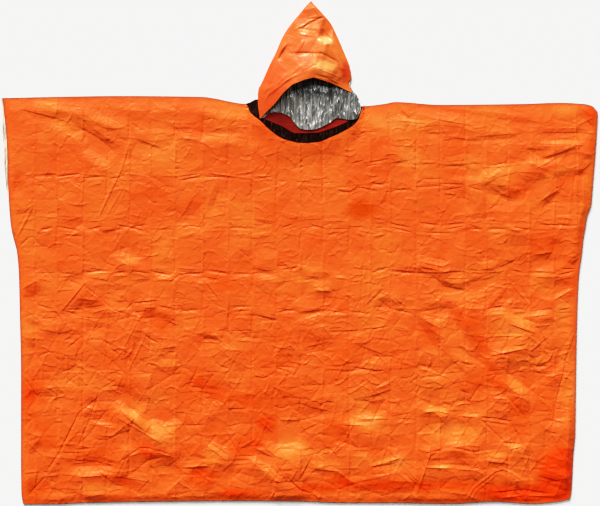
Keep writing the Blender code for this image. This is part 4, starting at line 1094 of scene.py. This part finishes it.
def crease_points(placed, lines, net):
    """Points on every crease, on the feet of the placed creases' flanks, on the plates' long sides and on the
    edges of the coarse facets."""
    points = []
    for line in lines:
        points += on_line(line.x0, line.y0, line.x1, line.y1, CREASE_STEP)
    for line in placed:
        run_x, run_y = line.x1 - line.x0, line.y1 - line.y0
        reach = math.copysign(1.0, run_x) / math.hypot(run_x, run_y)
        above, below = flank_widths(line)
        for offset in (above * reach, -below * reach):
            shift_x, shift_y = -run_y * offset, run_x * offset
            points += on_line(
                line.x0 + shift_x, line.y0 + shift_y, line.x1 + shift_x, line.y1 + shift_y, FLANK_STEP)
    for plate in PLATES:
        turn = math.radians(plate.turn)
        dx, dy = plate.half_x * math.cos(turn), plate.half_x * math.sin(turn)
        for v in (-plate.half_y, plate.half_y):
            x, y = plate.x - v * math.sin(turn), plate.y + v * math.cos(turn)
            points += on_line(x - dx, y - dy, x + dx, y + dy, PLATE_STEP)
    for start, end in net.edges:
        points += on_line(*net.corners[start], *net.corners[end], FACET_STEP)
    return [p for p in points if abs(p[0]) < HALF_WIDTH and -HALF_LENGTH < p[1] < PANEL_TOP_Y]


def fill_points(dice):
    """Points all over the panel, at an even pitch and a little scattered."""
    for row in range(int(FILL_HEIGHT / FILL_PITCH)):
        for column in range(int(2 * HALF_WIDTH / FILL_PITCH)):
            shift_x, shift_y = [dice.uniform(-FILL_SCATTER, FILL_SCATTER) for _ in range(2)]
            x = (column + 0.5 * (row % 2) + shift_x) * FILL_PITCH - HALF_WIDTH
            yield x, (row + shift_y) * FILL_PITCH - HALF_LENGTH


def front_heights(x, y, lines, nets):
    """Height of the front panel's outer face: its seat on the back panel, with every fold and crease on it."""
    side = from_sides(x, y)
    fade = smooth(side / SIDE_FADE) * np.where(in_neck(x), 1.0, smooth(from_shoulder(x, y) / SHOULDER_FADE))
    fade *= mix(LEAST_AT_HEM, 1.0, smooth((y - read(HEM, "x", "y", x)) / HEM_FADE))
    below = read(FRONT_NECK, "x", "y", x) - y
    lift = NECK_LIFT * smooth(1.0 - below / NECK_LIFT_REACH) * smooth((NECK_LIFT_TOP_Y - y) / NECK_LIFT_TOP_FADE)
    lift *= smooth((x - NECK_LEFT) / NECK_LIFT_END_FADE) * smooth((NECK_RIGHT - x) / NECK_LIFT_END_FADE)
    relief = MEAN_RELIEF + fold_relief(x, y) + pack_relief(x, y) + plate_relief(PLATES, x, y)
    crumple = crumple_share(y)
    for net, calm, crumpled in zip(nets, CALM_RISES, CRUMPLED_RISES):
        relief += mix(calm, crumpled, crumple) * heights_on(net, x, y)
    sharp = np.zeros_like(x)
    for line in lines:
        add_line(sharp, x, y, line, *flank_widths(line))
    dice = np.random.default_rng(3)
    relief += sharp + mix(GRAIN, GRAIN_CRUMPLED, crumple) * dice.uniform(-1.0, 1.0, len(x))
    step = EDGE_STEP * np.clip(side / EDGE_STEP_WIDTH, 0.0, 1.0)
    return TURNING_Z + WALL + np.where(in_neck(x), lift, 0.0) + fade * np.maximum(0.0, relief) + step


dice = random.Random(5)
nets = [facet_net(*COARSE_PITCH, dice), facet_net(*FINE_PITCH, dice, evenness=1)]
placed = LINES + list(band_lines()) + list(arch_lines())
lines = placed + list(upright_lines()) + list(net_lines(nets[1]))
rim = front_rim()
points = keep_apart(rim, crease_points(placed, lines, nets[0]), POINT_GAP)
points = keep_apart(points, list(fill_points(dice)), FILL_GAP)
edges = [(i, (i + 1) % len(rim)) for i in range(len(rim))]
corners, _, triangles, *_ = delaunay_2d_cdt([Vector(p) for p in points], edges, [], 1, SAME_POINT)
flat = np.array(corners)
heights = front_heights(flat[:, 0], flat[:, 1], lines, nets)
front_mesh = bpy.data.meshes.new("front_panel_film")
front_mesh.from_pydata(np.column_stack([flat, heights]) * MM, [], triangles)
bm = bmesh.new()
bm.from_mesh(front_mesh)
bmesh.ops.delete(bm, geom=[v for v in bm.verts if not v.link_faces], context="VERTS")
turned = bmesh.ops.extrude_edge_only(bm, edges=[edge for edge in bm.edges if edge.is_boundary])["geom"]
turned = [part for part in turned if isinstance(part, bmesh.types.BMVert)]
bmesh.ops.translate(bm, vec=(0.0, 0.0, -FILM_WALL * MM), verts=turned)
front_panel = finish_film("front_panel_film", bm, front_mesh, sharp_angle=3.0)
placed_at = np.zeros(len(front_mesh.vertices) * 3)
front_mesh.vertices.foreach_get("co", placed_at)
placed_x, placed_y, _ = placed_at.reshape(-1, 3).T / MM
for name, value_at in (("tint_and_painted_light_shift", tint_and_painted_light_shift), ("rim_painted_shade", rim_painted_shade)):
    front_mesh.attributes.new(name, "FLOAT", "POINT").data.foreach_set("value", value_at(placed_x, placed_y))
front_panel.data.materials.append(orange_film(
    "orange_film_front", ORANGES, roughness=0.38, drift=(0.0, 0.1), patches=(STAIN,), painted=True,
))
front_panel.data.materials.append(silver_side)
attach(front_panel, "root")
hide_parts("front_panel")

# ---- Hood ---------------------------------------------------------------------------------------------------
# One piece of film folded to a flattened cone, orange outside and silver inside. The front layer ends at the
# rim round the face and stands open a little; the back layer ends at a ragged edge welded in the neck.
Ring = namedtuple("Ring", "y left right")
HOOD_TIP_X = 29.0
HOOD_OUTLINE = [
    Ring(325, -98, 142), Ring(334, -99, 144), Ring(356, -102, 154), Ring(376, -104, 151), Ring(391, -104, 144),
    Ring(406, -103, 132), Ring(421, -96, 127), Ring(436, -89, 131), Ring(466, -76, 126), Ring(496, -61, 114),
    Ring(541, -41, 94), Ring(571, -21, 79), Ring(601, 4, 54), Ring(616, 16, 40),
    Ring(HALF_LENGTH, HOOD_TIP_X - 1.0, HOOD_TIP_X + 1.0),
]
FACE_RIM = [
    Edge(-99, 334), Edge(-80, 353), Edge(-61, 371), Edge(-41, 396), Edge(-19, 416), Edge(14, 429),
    Edge(36, 434), Edge(64, 426), Edge(94, 416), Edge(119, 404), Edge(132, 400),
]
NECK_BASE = [
    Edge(132, 400), Edge(148, 384), Edge(154, 356), Edge(144, 334), Edge(126, 331), Edge(109, 334),
    Edge(91, 336), Edge(76, 324), Edge(56, 314), Edge(41, 308), Edge(21, 306), Edge(1, 309), Edge(-9, 320),
    Edge(-24, 339), Edge(-44, 349), Edge(-61, 350), Edge(-74, 349), Edge(-86, 338), Edge(-99, 334),
]
Crease = namedtuple("Crease", "x0 y0 x1 y1 height above below")
HOOD_CREASES = [Crease(*row) for row in (
    (58, 587, 21, 571, -1.6, 4, 8), (22, 571, 10, 560, -1.2, 4, 6), (-21, 496, 52, 495, -1.2, 4, 8),
    (52, 495, 70, 488, -1.0, 4, 6), (-30, 516, -52, 482, -2.0, 6, 8), (-8, 498, 8, 527, 1.8, 6, 6),
    (86, 500, 100, 470, 1.6, 8, 5), (100, 470, 112, 440, 1.6, 8, 5), (114, 445, 127, 428, -1.4, 5, 7),
    (40, 440, 80, 432, -0.9, 4, 5), (60, 446, 112, 420, 0.5, 5, 4), (10, 470, -40, 425, 0.8, 6, 6),
    (-60, 440, -96, 372, -0.8, 6, 6), (-20, 455, -75, 395, 0.8, 6, 6), (-90, 400, -60, 420, 1.0, 8, 8),
    (60, 560, 74, 540, 1.0, 6, 5), (36, 612, 50, 590, 1.0, 5, 5), (-5, 560, 40, 552, -0.8, 4, 5),
    (0, 545, 36, 538, 0.8, 5, 4), (-98, 365, -88, 345, 1.2, 5, 5), (-70, 398, -20, 436, 1.0, 4, 5),
    (-45, 420, 30, 462, 0.9, 4, 5), (-10, 440, 40, 466, -0.8, 4, 4), (-86, 376, -76, 398, 1.2, 3, 4),
    (60, 440, 126, 408, 1.0, 4, 3), (50, 455, 100, 436, 0.7, 3, 3), (-66, 470, -84, 420, -1.2, 5, 6),
    (70, 488, 92, 476, -1.2, 4, 5), (96, 492, 108, 462, -1.4, 5, 5), (108, 462, 124, 446, 1.2, 4, 4),
    (20, 582, 60, 586, -0.8, 4, 4), (-12, 556, 24, 574, 0.8, 4, 4), (75, 545, 96, 510, 0.9, 5, 4),
)]
HOOD_PLATES = [Plate(*row) for row in (
    (62, 531, 11, 7, -14, 36), (72, 524, 9, 5, 16, 30), (56, 466, 13, 9, 12, 14), (78, 461, 11, 9, -10, 12),
    (-42, 498, 18, 6, 52, -14), (114, 468, 12, 20, -30, -4), (40, 575, 18, 5, 24, -12), (0, 512, 14, 4, 65, 16),
    (-30, 450, 40, 26, 40, -3), (20, 540, 26, 14, 10, 4), (122, 435, 8, 6, -60, -14), (30, 600, 14, 8, 20, -5),
    (-70, 400, 34, 12, 55, -4),
)]
HOOD_WALL = 0.5
HOOD_SEAT_Z = TURNING_Z + WALL + SEAM_GAP
HOOD_ON_BACK_Y, HOOD_ON_FLOOR_Y = 385.0, 485.0
SIDE_TURN = 0.004               # share of the half width in which the two layers close at a side
HOOD_LOFT, HOOD_LIFT, SHARP_GAIN = 26.0, 1.5, 1.4
BIG_FACETS, SMALL_FACETS = 2.1, 0.9
CREASED_FROM_SIDE, CREASED_FROM_TIP = 0.15, 0.1
LINING_RISE, LINING_TOP_Y, LINING_FADE = 0.8, 475.0, 130.0
STREAK_TOP_Y, STREAK_FADE, STREAK_NARROW, STREAK_LONG = 425.0, 50.0, 2.6, 0.55


def along(path, share):
    """Points at shares of a path's length."""
    corners = np.array(path, float)
    lengths = np.concatenate([[0.0], np.cumsum(np.hypot(*np.diff(corners, axis=0).T))])
    return [np.interp(share * lengths[-1], lengths, corners[:, axis]) for axis in (0, 1)]


def hood_middle_and_half(y):
    """Middle of the hood from left to right, and half its width."""
    left, right = read(HOOD_OUTLINE, "y", "left", y), read(HOOD_OUTLINE, "y", "right", y)
    return (left + right) / 2.0, (right - left) / 2.0


def hood_place(around, down):
    """Outer face of the hood: rays from the tip to the free edge, over the front and back along the back."""
    front = around <= 0.5
    rim_x, rim_y = along(FACE_RIM, np.clip(around * 2.0, 0.0, 1.0))
    base_x, base_y = along(NECK_BASE, np.clip(around * 2.0 - 1.0, 0.0, 1.0))
    mouth_x, mouth_y = np.where(front, rim_x, base_x), np.where(front, rim_y, base_y)
    y = mix(HALF_LENGTH, mouth_y, down)
    middle, half = hood_middle_and_half(y)
    mouth_middle, mouth_half = hood_middle_and_half(mouth_y)
    fan = -np.cos(2.0 * math.pi * around)
    mouth_fan = np.clip((mouth_x - mouth_middle) / mouth_half, -1.0, 1.0)
    x = middle + mix(fan, mouth_fan, down ** 3) * half

    seat = HOOD_SEAT_Z * (1.0 - smooth((y - HOOD_ON_BACK_Y) / (HOOD_ON_FLOOR_Y - HOOD_ON_BACK_Y)))
    half_stack = WALL + SEAM_GAP / 2.0
    near_side = np.clip((1.0 - np.abs(fan)) / SIDE_TURN, 0.0, 1.0)
    z = seat + half_stack + np.where(front, half_stack, -half_stack) * near_side

    dice = random.Random(9)
    inside = smooth((1.0 - np.abs(fan)) / CREASED_FROM_SIDE) * smooth(down / CREASED_FROM_TIP)
    rise = HOOD_LOFT * smooth(down) * np.maximum(0.0, 1.0 - fan ** 2) ** 0.8
    big = facets(x, y, pitch_x=46.0, pitch_y=40.0, dice=dice)
    small = facets(x, y, pitch_x=17.0, pitch_y=15.0, dice=dice)
    creased = BIG_FACETS * big + SMALL_FACETS * small + plate_relief(HOOD_PLATES, x, y)
    sharp = np.zeros_like(x)
    for crease in HOOD_CREASES:
        add_line(sharp, x, y, crease, crease.above, crease.below)
    front_z = rise + inside * (HOOD_LIFT + creased + SHARP_GAIN * sharp)

    streaks = facets(x * STREAK_NARROW, y * STREAK_LONG, pitch_x=21.0, pitch_y=17.0, dice=dice)
    back_z = LINING_RISE * inside * smooth((LINING_TOP_Y - y) / LINING_FADE)
    back_z *= 1.0 + streaks * smooth((STREAK_TOP_Y - y) / STREAK_FADE)
    return x, y, z + np.where(front, np.maximum(0.0, front_z), back_z)


HOOD_ORANGES = (
    (0.66, 0.052, 0.010), (0.68, 0.070, 0.015), (0.73, 0.112, 0.024), (0.76, 0.175, 0.034),
    (0.78, 0.200, 0.040),
)
HOOD_PAINTED_SHADE_AND_HIGHLIGHTS = (                # painted shade at the right edge, and two painted highlights, pale, on the crown
    Patch(117, 452, 15, 30, (0.62, 0.052, 0.012)), Patch(66, 528, 20, 15, (0.78, 0.29, 0.09)),
    Patch(64, 463, 34, 20, (0.78, 0.235, 0.06)),
)
# Painted shade: the lining's silver is darkened all over, and the painted light below brings it back to full silver
# where it lies open in the neck.
LINING_SILVER_IN_PAINTED_SHADE = (0.60, 0.63, 0.61)
LINING_PAINTED_LIGHT_AND_SHADE = (              # painted light where it lies open in the neck, and painted shade under the rim
    Patch(22, 340, 80, 56, (0.96, 1.0, 0.97)), Patch(42, 407, 95, 20, (0.34, 0.37, 0.37)),
)
hood = film_piece("hood_film", columns=210, rows=116, place=hood_place, wall=HOOD_WALL, closed=True)
# The drift is painted shade and light: it deepens the hood's colour towards its left side and pales it towards its
# right.
hood.data.materials.append(orange_film(
    "orange_film_hood", HOOD_ORANGES, roughness=0.3, gloss=0.2, cells=0.03, drift=(1.9, 0.0), patches=HOOD_PAINTED_SHADE_AND_HIGHLIGHTS,
))
hood.data.materials.append(silver_film(
    "silver_film_hood", stops=((0.0, LINING_SILVER_IN_PAINTED_SHADE),), dulls=((0.0, 0.37),), crease=1.0, patches=LINING_PAINTED_LIGHT_AND_SHADE,
))
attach(hood, "root")
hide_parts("hood")
